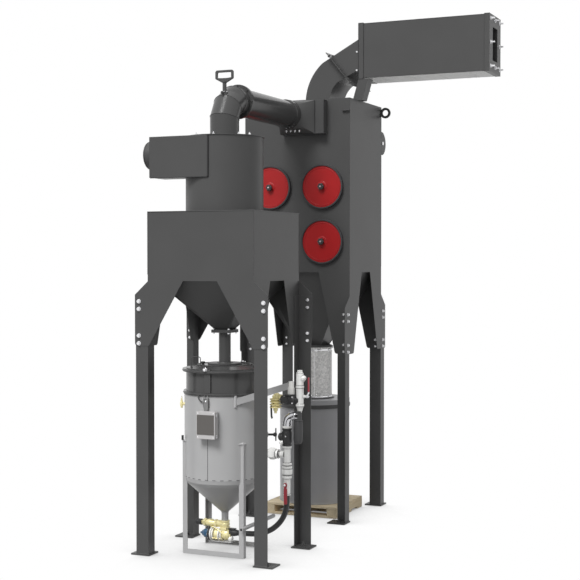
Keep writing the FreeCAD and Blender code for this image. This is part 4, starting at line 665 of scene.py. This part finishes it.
perforated = finish("perforated_bright_sheet", "F0F0EF", 0.42,
                    pattern=holes, tones=("C4C4C1", "F8F8F7"))
block((521, 1534, 3675.5), (1550, 1864, 3679.5))
for k in range(4):
    across = 647 + 257 * k
    block((across, 1534, 3673.5), (across + 3, 1864, 3676))
piece("silencer_underside", perforated, 30, 0.6)


# Dust drum: a galvanised sleeve on band clamps comes down from the collector's hopper to a
# grey painted 200 litre steel drum, which stands on a timber pallet.

drum_paint = finish("grey_drum_paint", "A3A3A5", 0.42, 0, (180, 3),
                    ("9C9C9F", "AAAAAC"), PEEL, relief=(0.1, 0.2))
dress(("dust_drum", "drum_lid"), drum_paint)


# Zinc spangle: crystals some 11 mm across, each its own grey.
def crystals(tree, place):
    """A grey for each crystal."""
    cells = add_node(tree, "ShaderNodeTexVoronoi", {"Scale": 1 / (11 * MM)}, {"Vector": place})
    return add_node(tree, "ShaderNodeRGBToBW", None, {0: cells.outputs["Color"]}).outputs[0]


spangle = finish("spangled_galvanised_sheet", "BEBEBE", 0.45, 0.3, crystals,
                 ("B0B0B0", "E8E7E5"), spread=(0.35, 0.6))
dress(["dust_sleeve"], spangle)

MIDDLE = Vector((0, COLLECTOR_Y, 0))
for up, rivets in ((985, 24), (1390, -10)):
    lathe([(153, up), (155, up), (156, up + 2), (156, up + 12), (155, up + 14), (153, up + 14)],
          MIDDLE, UP, 72)
    for k in range(4):
        lathe([(0, -17), (6, -17), (7, -15), (7, 10), (5, 12), (5, 18), (0, 19)],
              MIDDLE + spoke(90 * k - 100, 157, up + 7), spoke(90 * k - 10), 12)
    for k in range(24):
        lathe([(0, 0), (5, 0), (4.5, 2.5), (2.5, 4), (0, 4.3)],
              MIDDLE + spoke(15 * k, 153, up + rivets), spoke(15 * k), 10)
rod([(60, COLLECTOR_Y - 141, 1000), (60, COLLECTOR_Y - 141, 1386)], 1.6, 6)
piece("sleeve_bands", zinc)

# The drum's own clamp ring, dark, with its lever; and the rolled hoops of a plain drum.
lathe([(305, 906), (309, 908), (311, 914), (311, 932), (309, 938), (305, 940)], MIDDLE, UP, 96)
lathe([(150, 977), (171, 977), (172, 979), (172, 985), (153.5, 986)], MIDDLE, UP, 72)
rod([(-60, 1415, 924), (-30, 1406, 923), (20, 1400, 922), (70, 1404, 922)], 6, 10)
block((-66, 1404, 914), (-44, 1418, 934))
lathe([(153, 1428), (153, 1434), (135, 1438)], MIDDLE, UP, 64)
piece("drum_clamp_ring", charcoal, 30)

lathe([(294.5, 96), (298, 97), (300, 101), (298, 106), (294.5, 108)], MIDDLE, UP, 96)
rod([(-80, COLLECTOR_Y - 284.3, 108), (-80, COLLECTOR_Y - 284.3, 903)], 1.6, 6)
piece("drum_hoops", drum_paint, 40)


# Pallet: sawn pine boards nailed across three pine bearers, each board a little different,
# with the grain along its length.

def sawn_pine(name, stretch):
    """Pale pine with streaks of grain, 12 mm apart across it and drawn out along it."""
    def streaks(tree, place):
        drawn = add_node(tree, "ShaderNodeMapping", {"Scale": stretch}, {"Vector": place})
        return add_node(tree, "ShaderNodeTexNoise",
                        {"Scale": 1 / (12 * MM), "Detail": 5.0, "Distortion": 0.6},
                        {"Vector": drawn.outputs[0]}).outputs["Fac"]
    return finish(name, "E0D0B0", 0.75, 0, streaks, ("D6BF96", "FBEFD4"),
                  relief=(0.3, 0.6))


board_pine = sawn_pine("rough_sawn_pine_boards", (0.06, 1.0, 1.0))
bearer_pine = sawn_pine("rough_sawn_pine_bearers", (1.0, 0.06, 1.0))
random.seed(7)
PALLET_FRONT, PALLET_DEPTH, BOARD = 1410, 610, 96
for level, count, wide in ((0, 3, 110), (77, 6, BOARD)):
    for k in range(count):
        start = PALLET_FRONT + (PALLET_DEPTH - wide) * k / (count - 1)
        long = 330 - random.uniform(0, 4)
        sag = random.uniform(0, 0.8)
        block((-long, start, level), (long, start + wide, level + 18 - sag))
piece("pallet_boards", board_pine, 35, 1.5, node="pallet")
for across in (-1, 0, 1):
    block((across * 284 - 45, 1411 + random.uniform(0, 3), 18),
          (across * 284 + 45, 2019 - random.uniform(0, 3), 77))
piece("pallet_bearers", bearer_pine, 35, 2.0)
for k in range(6):
    middle = PALLET_FRONT + BOARD / 2 + (PALLET_DEPTH - BOARD) * k / 5
    for across in (-284, 0, 284):
        for shift in (-22, 22):
            lathe([(0, 93.6), (3.4, 93.6), (3.6, 94.4), (2.2, 94.8), (0, 94.8)],
                  (across + shift, middle + shift * 0.4, 0), steps=8)
piece("pallet_nails", zinc, 40)


# Blast pot: a rolled steel shell with a cone, in smooth light grey enamel, under a charcoal
# screen collar with a clamped lid. It stands in a frame of welded angles in the same grey.

dress(("pot_collar", "pot_lid"), charcoal_gloss)
pot_enamel = finish("light_grey_enamel", "ABABAB", 0.34, 0, (260, 3),
                    ("A6A6A7", "B2B2B2"), PEEL, relief=(0.08, 0.2))
dress(("pot_shell", "pot_stand", "control_box", "pipe_bracket"), pot_enamel)

# Weld seams of the shell, the end plate of the flat bar, and the caps of the stand's legs.
rod(hoop(300, (0, 0, 566), UP, 96), 1.6, 6, True)
rod(hoop(27, (0, 0, 291), UP, 32), 3, 6, True)
rod([(-9, 26, 292), (-9, 287, 540)], 1.6, 6)
rod([(198, -226, 1100), (198, -226, 1176), (197, -222, 1188)], 11, 16)
CAP = [(207, 215, 832), (253, 200, 832), (256, 157, 832), (226, 176, 852)]
for across, end in CORNERS.values():
    corners = [bm.verts.new((across * x, end * y, up)) for x, y, up in CAP]
    for trio in ((0, 1, 3), (1, 2, 3), (2, 0, 3), (0, 2, 1)):
        bm.faces.new([corners[k] for k in trio])
    for up in (600, 700, 800):
        for x, y in ((212, 208), (250.5, 160)):
            rod([(across * x, end * y, up), (across * x, end * y, up + 34)], 3, 6)
piece("pot_welds", pot_enamel)

# The shell's lap joint and the skip welds round its foot show as thin dark lines.
rod([(11, -300, 566), (11, -300, 876)], 1.7, 6)
for k in range(32):
    turn = radians(11.25 * k)
    rod([(300.5 * cos(turn + step), 300.5 * sin(turn + step), 571)
         for step in (-0.04, 0, 0.04)], 1.8, 6)
piece("pot_seam", gasket_and_shade_line_black)

# The right side tube has a black plug in each end, and a stand leg a black end stop.
for axis, tip in ((FRONT, 238), (BACK, 324)):
    lathe([(0, tip), (9.5, tip), (9.5, tip + 2.5), (7, tip + 3.5), (0, tip + 3.5)],
          (250, 0, 220), axis, 20)
block((-257, -203, 836), (-245, -188, 872))
piece("stand_plugs", black_moulding, 30, 1.0)

# Collar: hinge lug with a bright dome nut, rim flange, and a hook and toggle clamp below.
plate([(-15, 1202), (33, 1202), (33, 1345), (-15, 1345)], 16, (0, -284, 0))
plate([(-19, 1346), (37, 1346), (37, 1372), (-19, 1372)], 14, (0, -300, 0))
rod(hoop(306, (0, 0, 1190), UP, 96), 4.5, 8, True)
rod(hoop(312, (0, 0, 1355), UP, 96), 5, 8, True)
rod([(-60, -303, 1184), (-60, -309, 1172), (-54, -310, 1158), (-42, -310, 1145),
     (-28, -309, 1137)], 5.5, 10)
piece("collar_lugs", charcoal, 30, 2.0)
lathe([(0, 312), (15, 312), (15, 316), (13, 317), (13, 325), (11, 331), (6, 335), (0, 336)],
      (-1, 0, 1373), FRONT, 24)
lathe([(0, 302), (6, 302), (6, 318), (4.5, 320), (0, 320)], (5, 0, 1144), FRONT, 14)
block((6, 252, 1379), (44, 264, 1397))
lathe([(0, 1385), (9, 1385), (9, 1399), (7, 1402), (0, 1402)], (25, 258, 0), UP, 12)
piece("collar_pins", zinc, 35, 0.8)

clamp_grey = finish("cast_grey_zinc", "7C7C7C", 0.45, 0.3, (8, 3),
                    ("6E6E6E", "8A8A8A"), relief=(0.2, 0.3))
plate([(-16, 1100), (26, 1100), (26, 1158), (20, 1166), (-10, 1166), (-16, 1158)], 6,
      (0, -299, 0))
plate([(-8, 1066), (14, 1066), (22, 1090), (24, 1140), (16, 1152), (-8, 1152), (-14, 1140),
       (-14, 1090)], 9, (0, -307, 0))
for side in (-1, 1):
    rod([(5 + side * 18, -314, 1098), (5 + side * 18, -318, 1140), (5 + side * 15, -318, 1168),
         (5 + side * 13, -312, 1186)], 3, 8)
piece("toggle_clamp", clamp_grey, 30, 2.0)

# Lid: a raised disc round the drop pipe, a wire bail, and a small black knob.
lathe([(45, 1391), (124, 1391), (127, 1393), (127, 1401), (124, 1404), (62, 1404), (60, 1408),
       (45, 1408)], steps=64)
lathe([(203, 1391), (207, 1393), (205, 1395), (196, 1395), (194, 1391)], steps=96)
rod([(-171, -205, 1374), (-171, -205, 1444), (-167, -205, 1452), (-159, -205, 1455),
     (-108, -205, 1455), (-100, -205, 1452), (-97, -205, 1444), (-97, -205, 1382)], 3.2, 10)
for across in (-171, -97):
    lathe([(0, 1370), (8, 1370), (8, 1384), (5, 1388), (0, 1388)], (across, -205, 0), UP, 16)
piece("lid_disc_and_bail", charcoal, 30)
lathe([(0, 1388), (9, 1388), (8, 1396), (0, 1396)], (-152, -60, 0), UP, 16)
star((-152, -60, 0), UP, 17, 1395, 1411, 5)
piece("lid_knob", black_moulding, 40)

# Control box: a folded cover with rounded edges, four screws and a plain grey plate.
box_paint = finish("pale_grey_box_paint", "BDBBBB", 0.4, 0, (4, 2),
                   ("B8B6B6", "C4C2C2"))
block((-46.5, -356, 879.5), (98.5, -301, 1073.5))
block((-49, -361, 877), (101, -353, 1076))
piece("control_box_cover", box_paint, 30, 2.5)
plate_grey = finish("blank_anodised_plate", "5C5957", 0.42, 0.2, (2.5, 3),
                    ("55524F", "64615F"))
plate([(-42, 908), (92, 908), (94, 910), (94, 1050), (92, 1052), (-42, 1052), (-44, 1050),
       (-44, 910)], 1.2, (0, -361, 0))
for side in (-39, 89):
    for up in (914, 1046):
        lathe([(3.2, 361.5), (3, 363), (1.6, 363.8), (0, 364)], (side, 0, up), FRONT, 12)
piece("blank_plate", plate_grey, 30)
for side in (-36, 88):
    for up in (890, 1064):
        lathe([(5, 360), (5, 362), (4, 363.2), (0, 363.6)], (side, 0, up), FRONT, 14)
for up in (898, 1050):
    block((99.5, -344, up - 13), (104, -330, up + 13))
piece("control_box_screws", zinc, 30, 0.5)


# Brass fittings: a small relief valve on the left of the pot, the regulator beside the
# pilot block, and the metering valve below. Cast and turned brass, bright but not polished.

# Painted shade: occlusion darkens the brass towards dull olive in its grooves and recesses.
cast_brass = finish("cast_brass", "F3E6A4", 0.32, 0.3, (9, 4), ("EFE09A", "FBF4C8"),
                    spread=(0.26, 0.46), relief=(0.25, 0.4), crease_shade=(7, "A8924A"))

RELIEF = Vector((-0.914, -0.405, 0))
RELIEF_FOOT = RELIEF * 322
lathe([(0, 296), (15, 296), (15, 304), (9, 306), (9, 318), (0, 318)], (0, 0, 1096), RELIEF, 6)
lathe([(0, 1066), (7, 1066), (8, 1068), (8, 1078), (12, 1080), (12, 1108), (9, 1112), (9, 1120),
       (6, 1123), (6, 1134), (3, 1136), (0, 1136)], RELIEF_FOOT, UP, 20)
rod(hoop(9, RELIEF_FOOT + UP * 1143, RIGHT, 20), 1.4, 6, True)
piece("relief_valve", cast_brass)

# Regulator: a ribbed bonnet on a hexagon body, with a stub into the pilot block.
profile = [(0, 1045), (9, 1045), (10, 1048), (10, 1062), (17, 1064), (17, 1080), (20, 1082)]
for up in (1082, 1102, 1122, 1142):
    profile += [(24, up + 1), (41, up + 3), (43.5, up + 5), (43.5, up + 9), (41, up + 11),
                (24, up + 13), (23, up + 18)]
profile += [(25, 1164), (25, 1174), (16, 1178), (16, 1190), (12, 1195), (0, 1195)]
REGULATOR = Vector((415, 0, 0))
lathe(profile, REGULATOR, UP, 40)
lathe([(0, 10), (27, 10), (29, 12), (29, 26), (27, 28), (20, 28), (20, 52), (0, 52)],
      REGULATOR + UP * 1165, RIGHT, 6)
lathe([(0, 20), (15, 20), (15, 30), (11, 34), (0, 34)], REGULATOR + UP * 1135, LEFT, 6)
for up, turn in ((1092, -70), (1124, -115), (1150, -60), (1108, -20)):
    lathe([(0, 22), (9, 22), (9, 34), (6, 36.5), (0, 37)], REGULATOR + UP * up, spoke(turn), 6)
piece("brass_bonnet", cast_brass, node="brass_regulator")
rod([(383, -6, 1096), (383, -6, 1060), (385, -7, 1024), (390, -8, 1006)], 7, 12)
rod([(398, -20, 1120), (383, -8, 1106), (383, -6, 1096)], 5, 10)
piece("regulator_hose_tail", black_moulding, 40)

# Metering valve: an upright body below the neck, an air port to the left with its grey
# coupling, a cross body between pale clamp rings, and a black union for the hose.
CROSS, PORT = UP * 118, UP * 198
lathe([(0, 100), (31, 100), (36, 106), (37, 118), (34, 150), (32, 158), (32, 186), (36, 189),
       (36, 204), (33, 207), (33, 214), (36, 216), (36, 225.5), (26, 225.8), (0, 225.8)],
      steps=40)
lathe([(0, 24), (26, 24), (26, 58), (24, 64), (24, 96), (29, 104), (29, 132), (26, 140),
       (24, 150), (24, 152), (28, 153), (28, 172), (25, 176), (17, 181), (17, 192), (0, 192)],
      PORT, LEFT, 32)
lathe([(28, 153), (31, 154), (31, 171), (28, 172)], PORT, LEFT, 6)
lathe([(22, 62), (30, 64), (30, 78), (22, 80)], PORT, LEFT, 6)
lathe([(0, -78), (38, -78), (41, -74), (41, -50), (36, -44), (0, -44)], CROSS, RIGHT, 40)
lathe([(0, -8), (37, -8), (42, -2), (44, 12), (42, 30), (36, 42), (26, 48), (26, 55), (0, 55)],
      (0, 0, 122), RIGHT, 40)
for turn in (-140, -95, -50, -10):
    lean = Vector((0, cos(radians(turn)), sin(radians(turn))))
    rod([CROSS + LEFT * left + lean * 43 for left in (92, 12)], 5, 10)
rod([(-118, -12, 176), (-78, -24, 170), (-30, -34, 150), (-4, -38, 128)], 5.5, 10)
block((-26, -34, 158), (26, 34, 176))
piece("metering_valve_body", cast_brass, 35, 0.8, node="metering_valve")

ring_white = finish("white_acetal_ring", "F1EFEA", 0.32, 0, (12, 2),
                    ("F2F1ED", "FCFBF8"))
for left, wide, radius in ((-111, 11, 50.5), (-96, 10, 46), (-44, 11, 50.5), (-26, 10, 46)):
    lathe([(20, left), (radius - 2, left), (radius, left + 2), (radius, left + wide - 2),
           (radius - 2, left + wide), (20, left + wide)], CROSS, RIGHT, 48)
lathe([(0, 40), (22, 40), (24, 44), (22, 60), (16, 66), (0, 66)], (0, -6, 92), RIGHT, 24)
piece("valve_rings", ring_white, 40)

lathe([(20.6, 45), (26, 45), (27, 47), (27, 60), (25, 62), (25, 66), (27, 68), (27, 82), (25, 86),
       (23, 98), (20.6, 104)], (0, 0, 139), RIGHT, 32)
lathe([(0, 190), (22, 190), (23, 192), (23, 214), (22, 216), (23, 218), (23, 236), (21, 240),
       (12, 240), (12, 226), (0, 226)], PORT, LEFT, 32)
block((34, -24, 164), (84, 24, 168))
piece("valve_couplings", black_moulding)

plate([(-96, -38), (66, -38), (66, 38), (-96, 38)], 6, (0, 0, 66), RIGHT, BACK)
for across in (-70, 40):
    block((across - 6, -14, 70), (across + 6, 14, 84))
piece("valve_base_plate", pot_enamel, 30, 1.0)

# Actuator: a blue enamelled diaphragm cap with ribs, bolted to a black flange.
blue_enamel = finish("blue_enamel", "375C7B", 0.3, 0, (4, 2),
                     ("325674", "3E6484"), relief=(0.1, 0.2))
lathe([(0, 128), (35, 128), (35, 134), (32, 137), (33, 160), (31, 166), (24, 176), (20, 180),
       (20, 186), (12, 189), (8, 190), (8, 202), (6, 205), (0, 205)], CROSS, LEFT, 40)
for k in range(8):
    turn = radians(45 * k + 22.5)
    lean = Vector((0, cos(turn), sin(turn)))
    rod([CROSS + LEFT * left + lean * reach for left, reach in ((131, 33), (166, 31), (182, 18))],
        2.6, 8)
piece("actuator_cap", blue_enamel, node="valve_actuator")
lathe([(0, 112.5), (49, 112.5), (51, 114.5), (51, 126.5), (49, 128.5), (0, 128.5)], CROSS, LEFT,
      48)
piece("actuator_flange", black_moulding)
for k in range(8):
    turn = radians(45 * k)
    at = CROSS + Vector((-128.5, 42.5 * cos(turn), 42.5 * sin(turn)))
    lathe([(0, 0), (4.5, 0), (4.5, 4.5), (3.5, 5.5), (0, 5.5)], at, LEFT, 6)
piece("actuator_screws", zinc)


# Blast hose: a 41 mm black rubber hose that leaves the metering valve to the right, sags
# in one easy curve and turns up into the riser. Smooth cover with a dull shine.

hose_rubber = finish("extruded_hose_rubber", "0F0F10", 0.3, grain=(6, 3),
                     relief=(0.15, 0.3))
HOSE_ROUTE = [(84, 139), (187, 139), (298.6, 148.8), (395.4, 191.9), (467.5, 264), (507, 356),
              (507, 451)]
HOSE_ACROSS = 0.041
curve = bpy.data.curves.new("blast_hose_line", "CURVE")
curve.dimensions = "3D"
curve.bevel_depth = HOSE_ACROSS / 2
curve.bevel_resolution = 8
curve.resolution_u = 12
line = curve.splines.new("NURBS")
line.points.add(len(HOSE_ROUTE) - 1)
for point, (across, up) in zip(line.points, HOSE_ROUTE):
    point.co = (across * MM, 0, up * MM, 1)
line.order_u = 3
line.use_endpoint_u = True
curve.materials.append(hose_rubber)
hose = bpy.data.objects.new("blast_hose_cover", curve)
bpy.context.scene.collection.objects.link(hose)
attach(hose, "plant")
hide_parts("blast_hose")


# Riser: zinc plated iron fittings screwed together, with unions and clamp rings, fed from
# the pot by a short branch with a hexagon union. The threads and corners catch the light.

# Painted shade: occlusion darkens the plated iron towards dark grey in the grooves between
# fittings.
plated_iron = finish("zinc_plated_iron", "F0F0EE", 0.3, 0.2, (10, 3),
                     ("E6E6E4", "F8F8F6"), spread=(0.22, 0.42), crease_shade=(14, "4A4A4A"))

LINE = RIGHT * 507
LOWER_SPINDLE = LINE + UP * 530
BRANCH = UP * 748
lathe([(20.6, 451), (26, 451), (27.5, 453), (27.5, 459), (24.5, 461), (23.5, 466), (24.5, 540),
       (24.5, 568), (27, 572), (33, 575), (34, 578), (34, 588), (32, 592), (29, 594), (29, 600),
       (35, 603), (35, 608), (35, 644), (37, 648), (37, 660), (33, 664), (29, 666), (29, 670),
       (33, 672), (34, 675), (34, 683), (31, 687), (25.5, 689), (25.5, 792), (31, 794),
       (32.5, 797), (32.5, 808), (30, 811.5), (0, 811.5)], LINE, UP, 40)
lathe([(30, 607), (41, 607), (42, 610), (42, 639), (41, 642), (30, 642)], LINE, UP, 8)
lathe([(0, 300), (19, 300), (20, 306), (20, 352), (30, 354), (30, 358), (20, 360), (20, 507),
       (0, 507)], BRANCH, RIGHT, 32)
lathe([(20, 360), (33, 360), (44, 372), (44, 384), (44, 402), (36, 420), (20, 420)], BRANCH,
      RIGHT, 6)
lathe([(20, 421), (32, 421), (34, 424), (34, 437), (32, 440), (20, 440)], BRANCH, RIGHT, 32)
lathe([(20, 452), (25, 454), (25, 472), (27, 478), (27, 486), (20, 488)], BRANCH, RIGHT, 32)
lathe([(0, 20), (10, 20), (10, 30), (8, 31), (8, 37), (0, 37)], LOWER_SPINDLE, FRONT, 20)
piece("riser_fittings", plated_iron, node="riser_pipe")
for up, radius in ((461, 26), (572, 27), (598, 31), (647, 36), (667, 31.5), (689, 29), (793, 28)):
    rod(hoop(radius, LINE + UP * up, UP, 40), 1.5, 6, True)
for across, radius in ((356, 22), (421, 34), (441, 31), (452, 23), (488, 24)):
    rod(hoop(radius, BRANCH + RIGHT * across, RIGHT, 40), 1.8, 6, True)
piece("riser_ring_seals", gasket_and_shade_line_black)


# Pinch valve, bright bend and muffler: a black body with a side port and a pale bleed knob,
# a polished bend over it, and a moulded muffler on the bend's far end.

lathe([(0, 812), (33, 812), (35, 814), (35, 822), (31, 826), (31, 832), (36, 838), (37, 846),
       (37, 906), (35, 914), (31, 920), (31, 926), (36, 929), (36, 938), (34, 940), (0, 940)],
      LINE, UP, 40)
lathe([(0, 20), (25, 20), (25, 44), (28, 47), (28, 58), (25, 61), (18, 61), (18, 66), (0, 66)],
      LINE + UP * 876, LEFT, 32)
for turn in (-150, -105, -60, -15):
    rod([LINE + spoke(turn, 35, up) for up in (834, 916)], 4, 8)
piece("pinch_valve_body", black_moulding, node="pinch_valve")

BLEED = Vector((-0.62, -0.42, -0.66)).normalized()
lathe([(0, 24), (12, 24), (12, 40), (15, 42), (15, 58), (12, 62), (0, 62)], (503, -4, 866), BLEED,
      12)
lathe([(0, 36), (5, 36), (5, 39), (0, 40)], LINE + UP * 884, (0.1, -1, 0), 12)
piece("bleed_knob", plated_iron)
lathe([(26, 941), (31, 941), (33, 943), (33, 954), (31, 957), (31, 960), (29, 962), (26, 962)],
      LINE, UP, 40)
piece("pinch_ring", ring_white, 40)

polished = finish("polished_chrome_bend", "C6C6C9", 0.12, 1.0, grain=(16, 3),
                  spread=(0.06, 0.2))
rod([(507, 0, 941), (507, 0, 968), (508, 0, 986), (513, 0, 1002), (522, 0, 1016), (535, 0, 1026),
     (551, 0, 1032), (572, 0, 1034), (600, 0, 1034)], 31.5, 40)
for centre, along in (((507, 0, 970), UP), ((574, 0, 1034), RIGHT)):
    lathe([(30, -5), (34, -4), (35, 0), (34, 4), (30, 5)], centre, along, 40)
piece("chrome_bend", polished, 40, node="bright_bend")

sintered = finish("sintered_black_polyethylene", "3A3A3B", 0.6, 0, (3.5, 4),
                  ("323233", "454546"), relief=(0.35, 0.4))
lathe([(0, 828), (14, 829), (24, 834), (31, 846), (34, 862), (34, 986), (33, 990), (30, 993),
       (34, 996), (34, 1001), (28, 1004), (27, 1008), (27, 1070), (0, 1070)], (594, 0, 0), UP, 40)
piece("muffler_body", sintered, node="muffler")


# Air pipe: plated iron fittings above the muffler, with a capped branch, and a black pilot
# block with a white cap between the pipe and the regulator.

STACK = RIGHT * 608
UPPER_SPINDLE = STACK + UP * 1177
lathe([(0, 1070), (17, 1070), (20, 1080), (25, 1100), (30, 1106), (31, 1109), (31, 1119),
       (29, 1122), (27, 1124), (27.5, 1236), (31, 1239), (31, 1252), (28, 1255), (27, 1258),
       (27, 1342), (25, 1348), (19, 1352), (19, 1364), (16, 1367.5), (0, 1368)], STACK, UP, 40)
lathe([(0, 8), (21, 8), (22, 30), (20, 42), (14, 52), (9, 55), (0, 56)], STACK + UP * 1290,
      (0.82, -0.1, 0.57), 32)
lathe([(0, 1060), (14, 1060), (14, 1072), (0, 1072)], STACK, UP, 24)
lathe([(0, 24), (13, 24), (13, 36), (9, 38), (9, 54.5), (0, 54.5)], UPPER_SPINDLE, RIGHT, 6)
piece("air_pipe_fittings", plated_iron, node="air_pipe")
for up, radius in ((1103, 28), (1123, 29), (1237, 29), (1257, 28.5), (1345, 25)):
    rod(hoop(radius, STACK + UP * up, UP, 40), 1.5, 6, True)
piece("air_pipe_ring_seals", gasket_and_shade_line_black)
lathe([(0, 1172), (18, 1173), (23, 1178), (25, 1186), (25, 1236), (22, 1239), (22, 1243),
       (20, 1246), (19, 1280), (17, 1284), (0, 1284)], (539, 0, 0), UP, 36)
piece("pilot_cap", ring_white)
lathe([(0, 463), (28, 463), (31, 466), (31, 484), (38, 488), (41, 494), (41, 520), (38, 524),
       (38, 548), (41, 552), (41, 572), (38, 578), (30, 580), (30, 606), (0, 606)], (0, 0, 1148),
      RIGHT, 40)
block((504, -34, 1176), (566, 8, 1190))
lathe([(0, -45), (24, -45), (26, -41), (26, -36), (0, -36)], (506, 0, 1150), BACK, 32)
lathe([(0, 36), (15, 36), (15, 50), (11, 54), (0, 54)], (522, 0, 1165), DOWN, 20)
piece("pilot_body", black_moulding, 35, 0.8, node="pilot_block")
for across, up in ((500, 1172), (562, 1128), (562, 1172), (500, 1128)):
    lathe([(0, 32), (5, 32), (5, 38), (3, 39), (0, 39)], (across, 0, up), FRONT, 12)
piece("pilot_screws", zinc)


# Red levers: bent steel strip dipped in red vinyl, each held on its spindle by a bright
# nut, and the black handwheel on its stem beside the pot.

grip_vinyl = finish("dipped_red_vinyl", "A32B38", 0.36, 0, (3, 2),
                    ("982634", "AE303E"), relief=(0.1, 0.2))

plate([(-9, 128), (9, 128), (9, 20), (14, 8), (14, -6), (8, -14), (-8, -14), (-14, -6), (-14, 8),
       (-9, 20)], 5, LOWER_SPINDLE + FRONT * 37, RIGHT, DOWN)
piece("lower_lever_strip", grip_vinyl, 30, 1.0, body="lower_valve_lever")
plate([(-11, 26), (11, 26), (13, 32), (13, 136), (9, 143), (-9, 143), (-13, 136), (-13, 32)], 9,
      LOWER_SPINDLE + FRONT * 35, RIGHT, DOWN)
piece("lower_lever_grip", grip_vinyl, 30, 2.5, body="lower_valve_lever", node="lower_lever")
lathe([(0, 42), (9, 42), (9, 49), (7.5, 50), (4, 50), (4, 55), (0, 56)], LOWER_SPINDLE, FRONT, 6)
piece("lower_lever_nut", zinc, 30, body="lower_valve_lever")

plate([(0, -10), (5, -10), (5, 9), (17, 24), (17, 40), (12, 40), (12, 28), (0, 12)], 20,
      UPPER_SPINDLE + Vector((55, 10, 0)))
piece("upper_lever_crank", zinc, 30, 1.0, body="upper_valve_lever", node="upper_lever")
block((673.5, -10, 1209), (681.5, 10, 1316))
piece("upper_lever_grip", grip_vinyl, 30, 2.5, body="upper_valve_lever")
lathe([(0, 60), (9, 60), (9, 67), (7.5, 68), (4, 68), (4, 73), (0, 74)], UPPER_SPINDLE, RIGHT, 6)
piece("upper_lever_nut", zinc, 30, body="upper_valve_lever")

STEM = UP * 866
WHEEL = spoke(24)
lathe([(0, 305), (8.3, 305), (8.3, 360), (13, 363), (15, 367), (15, 384), (12, 386), (7, 386),
       (6, 388), (0, 388)], STEM, WHEEL, 32)
rod(hoop(44, STEM + WHEEL * 379, WHEEL, 60), 4.6, 12, True)
aside = UP.cross(WHEEL)
for k in range(5):
    turn = radians(72 * k + 18)
    lean = aside * cos(turn) + UP * sin(turn)
    rod([STEM + WHEEL * out + lean * reach for out, reach in ((377, 12), (378, 28), (379, 42))],
        3.4, 8)
piece("handwheel_rim", black_moulding, 40, body="handwheel", node="handwheel")
